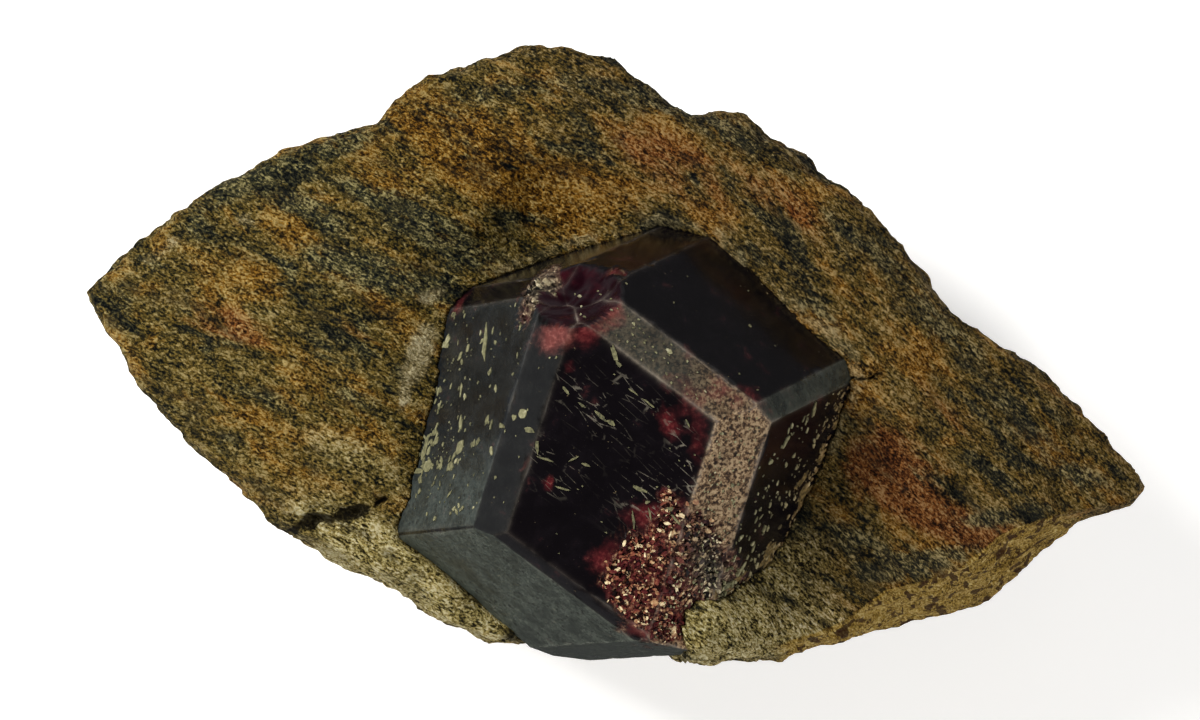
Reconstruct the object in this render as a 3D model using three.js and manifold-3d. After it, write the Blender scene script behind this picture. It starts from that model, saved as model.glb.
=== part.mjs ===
// Garnet in matrix: one dodecahedral garnet crystal seated in a slab of mica schist.
// Millimetres, +Z up. The slab lies on the flat middle of its underside, and the origin is the
// bottom centre of the whole specimen. All shapes are worked out first in the crystal's own
// place, with the crystal's centre over x = 0, y = 0, and the group is moved to the origin at the end.
import * as THREE from "three";
import { mergeVertices } from "three/addons/utils/BufferGeometryUtils.js";
import Module from "manifold-3d";

// ---- crystal: driving dimensions -------------------------------------------------------------

const FACE_REACH = 15.0; // centre to a dodecahedron face {110}
const BEVEL_REACH = 1.1 * FACE_REACH; // centre to a bevel face {211}; the bevel vanishes at 1.155
const CRYSTAL_HEIGHT = 19.0; // centre of the crystal above the slab's underside
const SOCKET_GAP = 0.3; // clearance between the crystal and its socket

// Two directions fix how the crystal sits: the normal of the face that looks up, and the cube
// axis that runs along the slab.
const UP_FACE_NORMAL = new THREE.Vector3(-0.045, -0.214, 0.976).normalize();
const CUBE_AXIS_C = new THREE.Vector3(0.95, 0.294, 0.108).normalize();

// Faces that grew a little nearer to the centre or further from it than the ideal form.
const GROWTH = {
  "1,0,1": 1.025,
  "0,1,1": 0.975,
  "1,0,-1": 0.975,
  "0,1,-1": 1.025,
  "2,1,1": 1.01,
  "1,2,1": 0.96,
  "1,1,2": 1.02,
  "2,1,-1": 0.984,
  "1,2,-1": 1.043, // nearly sharp, only a hairline of bevel
  "1,1,-2": 1.043,
  "-1,2,-1": 0.965,
};

// A shell-shaped chip next to the cube-axis corner at the back: the ball that would fill it.
const CHIP = { centre: [-4.6, 14.4, 20.6], radius: 8.2, facets: 56 };

// ---- slab: driving dimensions ----------------------------------------------------------------

// The broken outline seen from above, anticlockwise from the left tip by way of the front. Every
// point can be seen from the crystal's axis, so the slab can be drawn as rings of meridians.
const OUTLINE = [
  [-41.0, 11.5],
  [-38.3, 7.4],
  [-36.6, 4.2],
  [-32.8, -0.1],
  [-29.2, -3.0],
  [-26.2, -6.1],
  [-21.7, -8.5],
  [-17.0, -10.8],
  [-13.0, -13.2],
  [-9.8, -14.3],
  [-6.9, -14.6],
  [-3.2, -14.0],
  [0.9, -14.4],
  [2.6, -15.8],
  [5.0, -16.1],
  [8.0, -16.1],
  [11.4, -16.0],
  [17.5, -14.3],
  [21.6, -12.7],
  [25.0, -12.0],
  [27.8, -10.9],
  [30.2, -9.0],
  [31.8, -7.4],
  [34.2, -5.6],
  [37.8, -4.6],
  [38.7, -3.0],
  [36.5, -1.0],
  [34.4, 1.3],
  [29.5, 5.8],
  [24.2, 9.4],
  [22.2, 12.0],
  [19.0, 16.2],
  [12.3, 21.4],
  [8.5, 24.0],
  [4.4, 24.3],
  [1.7, 26.2],
  [-1.1, 28.4],
  [-3.9, 29.3],
  [-7.3, 29.7],
  [-11.2, 28.7],
  [-14.8, 27.4],
  [-17.2, 25.9],
  [-18.9, 24.2],
  [-23.3, 22.9],
  [-27.4, 21.2],
  [-33.7, 17.8],
  [-39.5, 12.9],
];

const SHOULDER_RISE = 4.6; // top face over the crystal's centre height, on the crystal's axis
const TILT_X = 0.09; // rise of the top face per millimetre to the right
const TILT_Y = 0.07; // and per millimetre to the back
const TILT_REACH = 22; // the tilt fades out this far from the axis
const DROOP_START = 18; // the top face bends down beyond this distance from the axis
const DROOP = 0.0075; // drop per square millimetre beyond it

// A break face on the front left: it starts at a crease and falls towards the front.
const BEVEL_CREASE = { x: -17.4, y: -5.7, heading: 7, rise: 4.2, slope: 0.46 };

// A tongue of schist that climbs the crystal's lower right shoulder.
const TONGUE = { x: 4.6, y: -14.0, rise: 7.5, spread: 4.0 };

// A shallow dip behind the crystal.
const DIP = { x: -4.5, y: 16.0, rise: -3.0, spread: 3.6 };

// The side wall. The top rim lies inside the outline by SETBACK, and by much more along the
// front right, where the side is a slanted break face.
const SETBACK = 0.9;
const SLANT = { setback: 3.4, from: -21, fadeIn: 26, to: -15, fadeOut: 9 };
const BELLY_SHARE = 0.72; // height of the outline, as a share of the wall's height
const SLANT_BELLY_SHARE = 0.3;
const UNDERCUT = 2.4; // the wall's foot lies inside the outline by this much

// The underside is flat in the middle and rises to the foot of the wall.
const FLAT_SHARE = 0.62; // reach of the flat middle, as a share of the outline's radius
const FOOT_LIFT = 1.4; // height of the wall's foot at the outline's nearest points
const FOOT_LIFT_SLOPE = 0.2; // more lift per millimetre of reach beyond FOOT_LIFT_START
const FOOT_LIFT_START = 16;

const STATIONS_PER_EDGE = 2; // meridians to each edge of the outline
const TOP_ROWS = 12;
const WALL_ROWS = 4;
const UNDER_ROWS = 3;

const TOUCH = 1e-5; // closer than this counts as touching
const PARALLEL = 1e-6; // a triple product under this means that three planes share no point

const degrees = THREE.MathUtils.degToRad;
const mix = THREE.MathUtils.lerp;
const smooth = THREE.MathUtils.smoothstep;

// ---- crystal ---------------------------------------------------------------------------------

// Every signed arrangement of three Miller indices, such as [1, 1, 0].
function faceForm(indices) {
  const found = new Map();
  const [a, b, c] = indices;
  for (const [h, k, l] of [[a, b, c], [a, c, b], [b, a, c], [b, c, a], [c, a, b], [c, b, a]])
    for (const i of [h, -h])
      for (const j of [k, -k])
        for (const m of [l, -l]) found.set([i, j, m].join(), [i, j, m]);
  return [...found.values()];
}

// The crystal's faces as planes in its own axes: a normal and a distance from the centre.
function crystalPlanes(extra) {
  const plane = (reach) => (indices) => {
    const normal = new THREE.Vector3(...indices).normalize();
    const growth = GROWTH[indices.join()] ?? 1;
    return { normal, distance: reach * growth + extra };
  };
  return [
    ...faceForm([1, 1, 0]).map(plane(FACE_REACH)),
    ...faceForm([2, 1, 1]).map(plane(BEVEL_REACH)),
  ];
}

// The point that three planes share, or null where they are parallel or meet in a line.
function meetingPoint(p, q, r) {
  const pq = new THREE.Vector3().crossVectors(p.normal, q.normal);
  const qr = new THREE.Vector3().crossVectors(q.normal, r.normal);
  const rp = new THREE.Vector3().crossVectors(r.normal, p.normal);
  const volume = p.normal.dot(qr);
  if (Math.abs(volume) < PARALLEL) return null;
  return qr
    .multiplyScalar(p.distance)
    .addScaledVector(rp, q.distance)
    .addScaledVector(pq, r.distance)
    .divideScalar(volume);
}

// The solid behind all the planes: its corners, then one fan of triangles for each face.
function solidBehind(planes) {
  const corners = [];
  for (let i = 0; i < planes.length; i++)
    for (let j = i + 1; j < planes.length; j++)
      for (let k = j + 1; k < planes.length; k++) {
        const point = meetingPoint(planes[i], planes[j], planes[k]);
        if (!point) continue;
        const outside = planes.some((p) => p.normal.dot(point) > p.distance + TOUCH);
        const known = corners.some((c) => c.distanceTo(point) < 10 * TOUCH);
        if (!outside && !known) corners.push(point);
      }
  const positions = [];
  for (const { normal, distance } of planes) {
    const face = corners.filter((c) => Math.abs(normal.dot(c) - distance) < 10 * TOUCH);
    if (face.length < 3) continue;
    const middle = face.reduce((sum, c) => sum.add(c), new THREE.Vector3()).divideScalar(face.length);
    const across = face[0].clone().sub(middle).normalize();
    const along = new THREE.Vector3().crossVectors(normal, across);
    const turn = (c) => Math.atan2(c.clone().sub(middle).dot(along), c.clone().sub(middle).dot(across));
    face.sort((a, b) => turn(a) - turn(b));
    for (let i = 1; i + 1 < face.length; i++)
      for (const corner of [face[0], face[i], face[i + 1]]) positions.push(...corner.toArray());
  }
  const geometry = new THREE.BufferGeometry();
  geometry.setAttribute("position", new THREE.Float32BufferAttribute(positions, 3));
  return mergeVertices(geometry, 10 * TOUCH);
}

// Turns the crystal's own axes into the specimen's, and lifts its centre to its height.
function crystalPlacement() {
  const side = new THREE.Vector3().crossVectors(UP_FACE_NORMAL, CUBE_AXIS_C).normalize();
  const axisA = UP_FACE_NORMAL.clone().add(side).normalize();
  const axisB = UP_FACE_NORMAL.clone().sub(side).normalize();
  const axisC = new THREE.Vector3().crossVectors(axisA, axisB);
  return new THREE.Matrix4().makeBasis(axisA, axisB, axisC).setPosition(0, 0, CRYSTAL_HEIGHT);
}

function crystalGeometry(extra = 0) {
  return solidBehind(crystalPlanes(extra)).applyMatrix4(crystalPlacement());
}

// ---- slab ------------------------------------------------------------------------------------

// The outline's points in order, with each edge divided into equal steps.
function outlineStations() {
  const stations = [];
  OUTLINE.forEach((corner, i) => {
    const from = new THREE.Vector2(...corner);
    const to = new THREE.Vector2(...OUTLINE[(i + 1) % OUTLINE.length]);
    for (let step = 0; step < STATIONS_PER_EDGE; step++)
      stations.push(from.clone().lerp(to, step / STATIONS_PER_EDGE));
  });
  return stations;
}

// Height of a round swelling at a point, or of a dip where its rise is negative.
function swelling({ x: centreX, y: centreY, rise, spread }, x, y) {
  const squared = (x - centreX) ** 2 + (y - centreY) ** 2;
  return rise * Math.exp(-squared / (2 * spread ** 2));
}

// Height of the top face at a point: a tilted, drooping main face, cut by the front left break
// face, with the tongue on the crystal's shoulder and the dip behind it.
function topHeight(x, y) {
  const fade = (v) => TILT_REACH * Math.tanh(v / TILT_REACH);
  const beyond = Math.max(0, Math.hypot(x, y) - DROOP_START);
  const main = SHOULDER_RISE + TILT_X * fade(x) + TILT_Y * fade(y) - DROOP * beyond ** 2;
  const heading = degrees(BEVEL_CREASE.heading);
  const past = (x - BEVEL_CREASE.x) * Math.sin(heading) - (y - BEVEL_CREASE.y) * Math.cos(heading);
  const face = x < 0 ? BEVEL_CREASE.rise - BEVEL_CREASE.slope * past : Infinity;
  return CRYSTAL_HEIGHT + Math.min(main, face) + swelling(TONGUE, x, y) + swelling(DIP, x, y);
}

// 1 along the slanted front right side and 0 elsewhere, with a soft change between. The bearing
// is within half a turn of straight right.
function slantShare(bearing) {
  const angle = THREE.MathUtils.radToDeg(bearing);
  const entering = smooth(angle, SLANT.from - SLANT.fadeIn, SLANT.from);
  const leaving = smooth(angle, SLANT.to, SLANT.to + SLANT.fadeOut);
  return entering * (1 - leaving);
}

// One meridian of the slab: [distance from the axis, height] from the top centre to the bottom centre.
function slabMeridian(bearing, reach) {
  const slant = slantShare(bearing);
  const heightAt = (r) => topHeight(r * Math.cos(bearing), r * Math.sin(bearing));
  const rim = reach - mix(SETBACK, SLANT.setback, slant);
  const rimHeight = heightAt(rim);
  const foot = reach - UNDERCUT;
  const lift = FOOT_LIFT + FOOT_LIFT_SLOPE * Math.max(0, reach - FOOT_LIFT_START);
  const belly = mix(lift, rimHeight, mix(BELLY_SHARE, SLANT_BELLY_SHARE, slant));
  const wall = new THREE.QuadraticBezierCurve(
    new THREE.Vector2(rim, rimHeight),
    new THREE.Vector2(2 * reach - (rim + foot) / 2, 2 * belly - (rimHeight + lift) / 2),
    new THREE.Vector2(foot, lift),
  );
  const points = [];
  for (let i = 1; i <= TOP_ROWS; i++) {
    const r = (rim * i) / TOP_ROWS;
    points.push([r, heightAt(r)]);
  }
  for (let i = 1; i <= WALL_ROWS; i++) points.push(wall.getPoint(i / WALL_ROWS).toArray());
  for (let i = 1; i <= UNDER_ROWS; i++) {
    const share = i / UNDER_ROWS;
    points.push([mix(foot, FLAT_SHARE * reach, share), lift * (1 - share) ** 2]);
  }
  return points;
}

// The meridians joined into one closed skin, with a pole at the top and one underneath.
function slabGeometry() {
  const stations = outlineStations();
  const rows = TOP_ROWS + WALL_ROWS + UNDER_ROWS;
  const positions = [0, 0, topHeight(0, 0), 0, 0, 0];
  const index = [];
  const at = (station, row) => 2 + (station % stations.length) * rows + row;
  for (let s = 0; s < stations.length; s++) {
    const bearing = Math.atan2(stations[s].y, stations[s].x);
    for (const [r, z] of slabMeridian(bearing, stations[s].length()))
      positions.push(r * Math.cos(bearing), r * Math.sin(bearing), z);
    index.push(0, at(s, 0), at(s + 1, 0));
    for (let row = 0; row + 1 < rows; row++)
      index.push(
        at(s, row), at(s, row + 1), at(s + 1, row),
        at(s + 1, row), at(s, row + 1), at(s + 1, row + 1),
      );
    index.push(at(s, rows - 1), 1, at(s + 1, rows - 1));
  }
  const geometry = new THREE.BufferGeometry();
  geometry.setAttribute("position", new THREE.Float32BufferAttribute(positions, 3));
  geometry.setIndex(index);
  return geometry;
}

// ---- boolean cut -----------------------------------------------------------------------------

const wasm = await Module();
wasm.setup();

function toSolid(geometry) {
  return new wasm.Manifold(
    new wasm.Mesh({
      numProp: 3,
      vertProperties: new Float32Array(geometry.attributes.position.array),
      triVerts: new Uint32Array(geometry.index.array),
    }),
  );
}

function toGeometry(solid) {
  const mesh = solid.getMesh();
  const geometry = new THREE.BufferGeometry();
  geometry.setAttribute("position", new THREE.Float32BufferAttribute(mesh.vertProperties, 3));
  geometry.setIndex(new THREE.Uint32BufferAttribute(mesh.triVerts, 1));
  return geometry;
}

// ---- the specimen ----------------------------------------------------------------------------

function namedMesh(name, geometry, colour, roughness) {
  geometry.computeVertexNormals();
  const material = new THREE.MeshStandardMaterial({ color: colour, roughness, metalness: 0 });
  material.flatShading = true;
  const mesh = new THREE.Mesh(geometry, material);
  mesh.name = name;
  return mesh;
}

const [chipX, chipY, chipZ] = CHIP.centre;
const chipBall = wasm.Manifold.sphere(CHIP.radius, CHIP.facets).translate([
  chipX,
  chipY,
  chipZ + CRYSTAL_HEIGHT,
]);
const chipped = toSolid(crystalGeometry()).subtract(chipBall);
const socketed = toSolid(slabGeometry()).subtract(toSolid(crystalGeometry(SOCKET_GAP)));

const specimen = new THREE.Group();
specimen.add(namedMesh("schist_matrix", toGeometry(socketed), 0x6b5a3c, 0.85));
specimen.add(namedMesh("garnet_crystal", toGeometry(chipped), 0x2a0a10, 0.2));

const box = new THREE.Box3().setFromObject(specimen);
const centre = box.getCenter(new THREE.Vector3());
specimen.position.set(-centre.x, -centre.y, -box.min.z);

export default specimen;
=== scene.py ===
# %% [markdown]
# # A garnet in its matrix
# The real thing is two pieces that grew together: one garnet crystal, and the slab of mica schist
# that it grew in. A maker could wrap a scanned rock texture round the solids, or sculpt by hand.
# Here both pieces are worked out as surfaces with numpy instead, because a formula can follow the
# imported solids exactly, and every groove and flake can be moved by one number. Flakes of mica and
# grains of crushed garnet, too small for the solids, are added as meshes of their own.

# %% Frame and units
# All shapes are worked out in millimetres from the crystal's centre, and moved to the frame's
# metres only when a mesh is made.
import itertools

import bpy
import numpy as np
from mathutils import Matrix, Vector
from mathutils.bvhtree import BVHTree


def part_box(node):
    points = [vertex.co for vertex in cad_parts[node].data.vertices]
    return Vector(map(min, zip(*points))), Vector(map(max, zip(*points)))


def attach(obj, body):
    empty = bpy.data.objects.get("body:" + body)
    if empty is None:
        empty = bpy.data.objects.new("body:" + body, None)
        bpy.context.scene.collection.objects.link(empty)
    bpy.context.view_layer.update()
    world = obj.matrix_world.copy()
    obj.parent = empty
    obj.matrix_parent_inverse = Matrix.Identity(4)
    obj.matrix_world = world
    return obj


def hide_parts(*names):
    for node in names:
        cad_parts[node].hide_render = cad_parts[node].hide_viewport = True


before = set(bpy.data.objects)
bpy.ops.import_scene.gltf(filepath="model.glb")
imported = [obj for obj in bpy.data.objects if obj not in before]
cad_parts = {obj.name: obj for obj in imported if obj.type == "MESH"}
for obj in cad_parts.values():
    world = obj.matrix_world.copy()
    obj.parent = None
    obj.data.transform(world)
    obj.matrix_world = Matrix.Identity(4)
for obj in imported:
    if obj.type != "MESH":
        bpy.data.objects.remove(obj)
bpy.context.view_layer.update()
MM = 0.001

low, high = (np.array(corner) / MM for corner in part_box("garnet_crystal"))
UNEVEN_GROWTH = np.array([0.015, -0.210, 0.049])  # the box's middle to the crystal's true centre
CENTRE = (low + high) / 2 + UNEVEN_GROWTH
print("crystal centre, mm:", CENTRE.round(2), "crystal size, mm:", (high - low).round(1))

# %% [markdown]
# ## Noise
# Rock and worn crystal are irregular at every scale. Blender's own noise lives in its shaders, and
# a mesh made in Python can't read it, so the shapes need a noise of their own. Gradient noise is
# the usual choice: it is smooth, it has no visible grid, and a seed makes it the same on every run.

# %% Gradient noise
def noise(points, seed):
    """Gradient noise. Every corner of the unit grid gets a random direction. At a point, each of
    the eight corners round it gives the dot product of its direction and the way to the point, and
    a smooth step blends the eight. The result is mostly between -1 and 1."""
    random = np.random.default_rng(seed)
    table = random.permutation(256)
    direction = random.normal(size=(256, 3))
    direction /= np.linalg.norm(direction, axis=1, keepdims=True)
    cell = np.floor(points).astype(int)
    offset = points - cell
    fade = offset**3 * (offset * (offset * 6 - 15) + 10)
    total = np.zeros(points.shape[:-1])
    for corner in itertools.product((0, 1), repeat=3):
        x, y, z = np.moveaxis(cell + corner, -1, 0)
        key = table[(table[(table[x & 255] + y) & 255] + z) & 255]
        weight = np.where(corner, fade, 1 - fade).prod(axis=-1)
        total += weight * (direction[key] * (offset - corner)).sum(axis=-1)
    return 1.6 * total


def layered_noise(points, seed, layers):
    """Noise at one scale plus the same at half the size and half the strength, and so on."""
    return sum(noise(points * 2**i, seed + i) / 2**i for i in range(layers))


def smooth_step(value, start, end):
    """0 below start, 1 above end, and the curve 3t^2 - 2t^3 between them."""
    t = np.clip((value - start) / (end - start), 0, 1)
    return t * t * (3 - 2 * t)


sample = noise(np.random.default_rng(1).uniform(0, 50, (2000, 3)), 1)
print("noise runs from", sample.min().round(2), "to", sample.max().round(2))


# %% [markdown]
# ## The crystal's geometry
# The garnet is a rhombic dodecahedron, twelve rhombs, whose edges are cut back by narrow faces of
# a second form. Its exact planes are already in the imported solid, so they are read from there. All
# that is given here is the way the crystal's own axes lie, which lets a face be asked for by its
# Miller indices, as a mineralogist would.

# %% Planes of the crystal
UP_FACE = np.array([-0.045, -0.214, 0.976])
AXIS_C = np.array([0.950, 0.294, 0.108])


def unit(vector):
    return vector / np.linalg.norm(vector)


side = unit(np.cross(UP_FACE, AXIS_C))
AXIS_A = unit(unit(UP_FACE) + side)
AXIS_B = unit(unit(UP_FACE) - side)
AXIS_C = np.cross(AXIS_A, AXIS_B)


def solid_triangles(name):
    """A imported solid's triangles: an array of three corners each, in mm from the crystal's centre."""
    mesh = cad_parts[name].data
    corners = np.empty(3 * len(mesh.vertices))
    mesh.vertices.foreach_get("co", corners)
    index = np.empty(3 * len(mesh.polygons), int)
    mesh.polygons.foreach_get("vertices", index)
    return (corners.reshape(-1, 3) / MM - CENTRE)[index.reshape(-1, 3)]


def outer_planes(triangles):
    """Normals and distances of the flat outer faces. A triangle's plane counts when no corner of the
    solid stands in front of it, so the facets of the chip drop out, and each plane counts once."""
    normal = np.cross(triangles[:, 1] - triangles[:, 0], triangles[:, 2] - triangles[:, 0])
    area = np.linalg.norm(normal, axis=1)
    big = area > 0.05
    normal = normal[big] / area[big, None]
    distance = (normal * triangles[big, 0]).sum(axis=1)
    outer = (triangles.reshape(-1, 3) @ normal.T).max(axis=0) < distance + 0.005
    normal, distance = normal[outer], distance[outer]
    first_like_it = (normal @ normal.T > 0.9995).argmax(axis=1)
    once = first_like_it == np.arange(len(normal))
    return normal[once], distance[once]


NORMALS, DISTANCES = outer_planes(solid_triangles("garnet_crystal"))
print("flat faces on the crystal:", len(NORMALS))


def beyond_crystal(points):
    """How far points are outside the crystal: the largest height above any of its planes."""
    return np.max([points @ n - d for n, d in zip(NORMALS, DISTANCES)], axis=0)


def face_plane(h, k, l):
    """Normal and distance of the face with these Miller indices."""
    nearest = np.argmax(NORMALS @ unit(h * AXIS_A + k * AXIS_B + l * AXIS_C))
    return NORMALS[nearest], DISTANCES[nearest]


def on_face(points, h, k, l, reach=0.05):
    """1 on the face with these Miller indices, falling to 0 a little below its plane: e to minus the
    square of the depth over the reach, in mm."""
    normal, distance = face_plane(h, k, l)
    depth = distance - points @ normal
    return np.exp(-((np.maximum(depth, 0) / reach) ** 2))


def spot(points, x, y, wide, high, turn=0.0):
    """A soft oval seen from above: 1 in its middle, and e^-1 at wide and high from it."""
    c, s = np.cos(np.radians(turn)), np.sin(np.radians(turn))
    along = (points[..., 0] - x) * c + (points[..., 1] - y) * s
    across = (points[..., 1] - y) * c - (points[..., 0] - x) * s
    return np.exp(-((along / wide) ** 2) - (across / high) ** 2)


def painted(points, places):
    """The sum of soft ovals, each with its own strength."""
    return sum(strength * spot(points, *place) for *place, strength in places)


# %% [markdown]
# ## The crystal's surface
# A grown crystal has flat faces and crisp edges, so one round grid pushed into shape won't do: its
# edges would wander. Each face gets its own grid instead. One direction of the grid runs round the
# face's outline and the other from the outline to the middle, with the rows closest together near
# the outline, where the wear is. Neighbouring faces use the same points along a shared edge, so
# the grids weld into one closed skin.

# %% Corners and outlines of the faces
FINE_STEP = 0.24  # mm between points along an edge that shows
COARSE_STEP = 1.2  # and along one buried in the rock
BURIED_BELOW = -6.0  # mm, under the crystal's centre
WIDE_ROWS, NARROW_ROWS, BURIED_ROWS = 28, 16, 4  # from a face's outline to its middle


def crystal_corners():
    """The points where three planes meet and no other plane cuts them off."""
    trios = np.array(list(itertools.combinations(range(len(NORMALS)), 3)))
    meet = np.abs(np.linalg.det(NORMALS[trios])) > 1e-3
    points = np.linalg.solve(NORMALS[trios[meet]], DISTANCES[trios[meet], None])[..., 0]
    points = points[beyond_crystal(points) < 4e-3]
    gap = np.linalg.norm(points[:, None] - points[None], axis=2)
    return points[(gap < 0.02).argmax(axis=1) == np.arange(len(points))]


CORNERS = crystal_corners()
print("corners on the crystal:", len(CORNERS))


def face_corners(normal, distance):
    """Numbers of the corners on a face, in order round it, seen from outside."""
    found = np.flatnonzero(np.abs(CORNERS @ normal - distance) < 8e-3)
    middle = CORNERS[found].mean(axis=0)
    across = unit(CORNERS[found[0]] - middle)
    along = np.cross(normal, across)
    way = CORNERS[found] - middle
    return found[np.argsort(np.arctan2(way @ along, way @ across))]


def shows(point):
    """Whether a place on the crystal stands clear of the rock, or nearly."""
    return point[2] > BURIED_BELOW or point[1] < -11


def edge_points(a, b):
    """Even steps from corner a up to corner b, without b. The same edge walked the other way gives
    the same points to the last digit, because it is always worked out from the lower number."""
    one, other = CORNERS[min(a, b)], CORNERS[max(a, b)]
    step = FINE_STEP if shows((one + other) / 2) else COARSE_STEP
    count = max(2, int(np.ceil(np.linalg.norm(other - one) / step)))
    share = np.arange(count + 1)[:, None] / count
    points = one * (1 - share) + other * share
    return points[:-1] if a < b else points[:0:-1]


def face_grid(normal, distance, rows):
    """Points of a face and its faces. Row s of the grid is the outline shrunk towards the middle by
    the share (s / rows)^1.6, so the rows bunch up at the outline; the last is the middle itself."""
    ring = face_corners(normal, distance)
    outline = np.concatenate([edge_points(a, b) for a, b in zip(ring, np.roll(ring, -1))])
    share = (np.arange(rows)[:, None, None] / rows) ** 1.6
    middle = outline.mean(axis=0)
    grid = (outline * (1 - share) + middle * share).reshape(-1, 3)
    count = len(outline)
    i, s = np.meshgrid(np.arange(count), np.arange(rows - 1))
    here, after = s * count + i, s * count + (i + 1) % count
    quads = np.stack([here, after, after + count, here + count], axis=-1).reshape(-1, 4)
    last = (rows - 1) * count + np.arange(count)
    tip = np.full(count, len(grid))
    fan = np.stack([last, np.roll(last, -1), tip], axis=-1)
    return np.vstack([grid, middle]), quads, fan


def weld(points):
    """One copy of every point, and each old point's place among them."""
    _, first, place = np.unique(
        (points * 1e5).round().astype(np.int64), axis=0, return_index=True, return_inverse=True
    )
    return points[first], place.reshape(-1)


def crystal_grid():
    """All the face grids welded together: points, quads and triangles."""
    points, quads, fans, start = [], [], [], 0
    for normal, distance in zip(NORMALS, DISTANCES):
        ring = face_corners(normal, distance)
        if len(ring) < 3:
            continue
        rows = NARROW_ROWS if len(ring) > 4 else WIDE_ROWS  # the wide faces are rhombs
        if not shows(CORNERS[ring].mean(axis=0)):
            rows = BURIED_ROWS
        face_points, face_quads, face_fan = face_grid(normal, distance, rows)
        points.append(face_points)
        quads.append(face_quads + start)
        fans.append(face_fan + start)
        start += len(face_points)
    welded, place = weld(np.vstack(points))
    return welded, place[np.vstack(quads)], place[np.vstack(fans)]


# %% [markdown]
# ## Wear on the crystal
# Every change to the crystal's surface is a depth, measured inwards along the line to its centre.
# A depth that depends only on where a point is, and not on which face it belongs to, leaves no gap
# where faces meet. The real crystal has rubbed edges, a shell-shaped chip at its back corner, a
# crushed grainy patch at the front corner, shallow etch pits, and flakes of mica stuck on.

# %% Depth of the wear
CHIP_CENTRE = np.array([-4.6, 14.4, 20.6])
CHIP_RADIUS = 8.2
STRUCK_AT = CHIP_CENTRE + [-3.0, 1.0, -6.0]
EDGE_REACH, BRIGHT_REACH = 0.10, 0.06  # mm over which an edge's wear, and its bright line, fade out
EDGE_WEAR, NICK_DEPTH, PIT_DEPTH = 0.045, 0.16, 0.05  # mm
CRUSHED_DEPTH, CRUSHED_ROUGHNESS = 0.22, 0.30  # mm
MARK_PLACES = [  # shallow pits and scratches on the top face
    (-6.5, -1.6, 0.9, 0.8, 0, 1.0),
    (-3.6, -2.4, 1.0, 0.7, 0, 0.9),
    (-5.0, -4.2, 1.2, 0.6, 0, 0.8),
    (1.0, -4.2, 1.1, 0.8, 10, 0.9),
    (-2.6, 1.6, 2.8, 1.2, -38, 1.0),
    (0.8, 2.4, 2.4, 0.6, -40, 0.9),
    (1.4, -5.4, 1.9, 1.8, 0, 0.9),
    (4.2, -2.6, 0.8, 3.6, 12, 1.0),
]


def edge_nearness(points, reach):
    """1 on the crystal's edges and falling off with distance: e to minus the second smallest depth
    below the planes, over the reach."""
    depth = np.partition([d - points @ n for n, d in zip(NORMALS, DISTANCES)], 1, axis=0)[1]
    return np.exp(-np.maximum(depth, 0) / reach)


def chip_depth(points):
    """Depth of the chip: the stretch of the line to the centre that lies inside the chip's ball, with
    ripples that run out from the corner it was struck at. Also its mask."""
    length = np.linalg.norm(points, axis=1)
    toward = points / length[:, None]
    half = toward @ CHIP_CENTRE
    inside = half**2 - CHIP_CENTRE @ CHIP_CENTRE + CHIP_RADIUS**2
    surface = half - np.sqrt(np.maximum(inside, 0))
    depth = np.where((inside > 0) & (half > 0), np.maximum(length - surface, 0), 0)
    ripple = np.cos(np.linalg.norm(points - STRUCK_AT, axis=1) * 4.5 + noise(points / 1.5, 61))
    mask = smooth_step(depth, 0.0, 0.12)
    return depth + (0.07 * ripple + 0.10 * noise(points / 1.3, 62)) * smooth_step(depth, 0, 0.5), mask


CRUSHED_CORNER = [  # x, y, half width, half height, turn, strength
    (1.4, -10.4, 3.3, 3.2, 20, 1.0),
    (4.6, -8.6, 2.2, 3.6, 20, 0.8),
    (7.2, -10.2, 1.6, 2.6, 25, 0.6),
    (2.8, -13.8, 3.0, 1.7, 0, 1.0),
]
CRUSHED_MARGIN = [
    (-5.9, 11.6, 0.75, 1.5, -38, 1.1),
    (-7.4, 9.0, 0.55, 1.5, -12, 1.0),
    (-0.9, 11.6, 1.2, 0.35, -12, 0.7),
    (2.9, -5.4, 0.5, 1.8, 15, 0.6),
]


def crushed_patch(points):
    """1 where the crystal is crushed to grains: its front corner, but not the faces under it, and the
    chip's left margin. Noise makes the borders ragged."""
    patch = painted(points, CRUSHED_CORNER) * smooth_step(points[:, 2], 2, 8)
    patch += painted(points, CRUSHED_MARGIN)
    return smooth_step(patch + 0.22 * layered_noise(points / 0.9, 21, 3), 0.34, 0.60)


def wear_depth(points):
    """Depth of all the wear together, in mm, and its masks."""
    nick = smooth_step(layered_noise(points / 1.7, 11, 3), 0.15, 0.75)
    crushed = crushed_patch(points)
    chip, chip_mask = chip_depth(points)
    depth = edge_nearness(points, EDGE_REACH) * (EDGE_WEAR + NICK_DEPTH * nick)
    depth += 0.02 * layered_noise(points / 3.2, 51, 2) + chip
    depth += crushed * (CRUSHED_DEPTH + CRUSHED_ROUGHNESS * layered_noise(points / 0.7, 31, 2))
    pitted = on_face(points, 1, 1, 0) * smooth_step(noise(points / 0.9, 71), 0.35, 0.6)
    depth += PIT_DEPTH * pitted * painted(points, MARK_PLACES).clip(0, 1)
    ground = on_face(points, 2, 1, 1, 0.5) + on_face(points, 1, 2, 1, 0.5)
    bright = edge_nearness(points, BRIGHT_REACH) * (0.4 + 0.6 * nick) * (0.2 + 1.2 * ground).clip(0, 1)
    return depth, {"crushed": crushed, "chip": chip_mask, "rubbed": bright}


print("deepest wear on a corner, mm:", wear_depth(CORNERS)[0].max().round(2))
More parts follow.
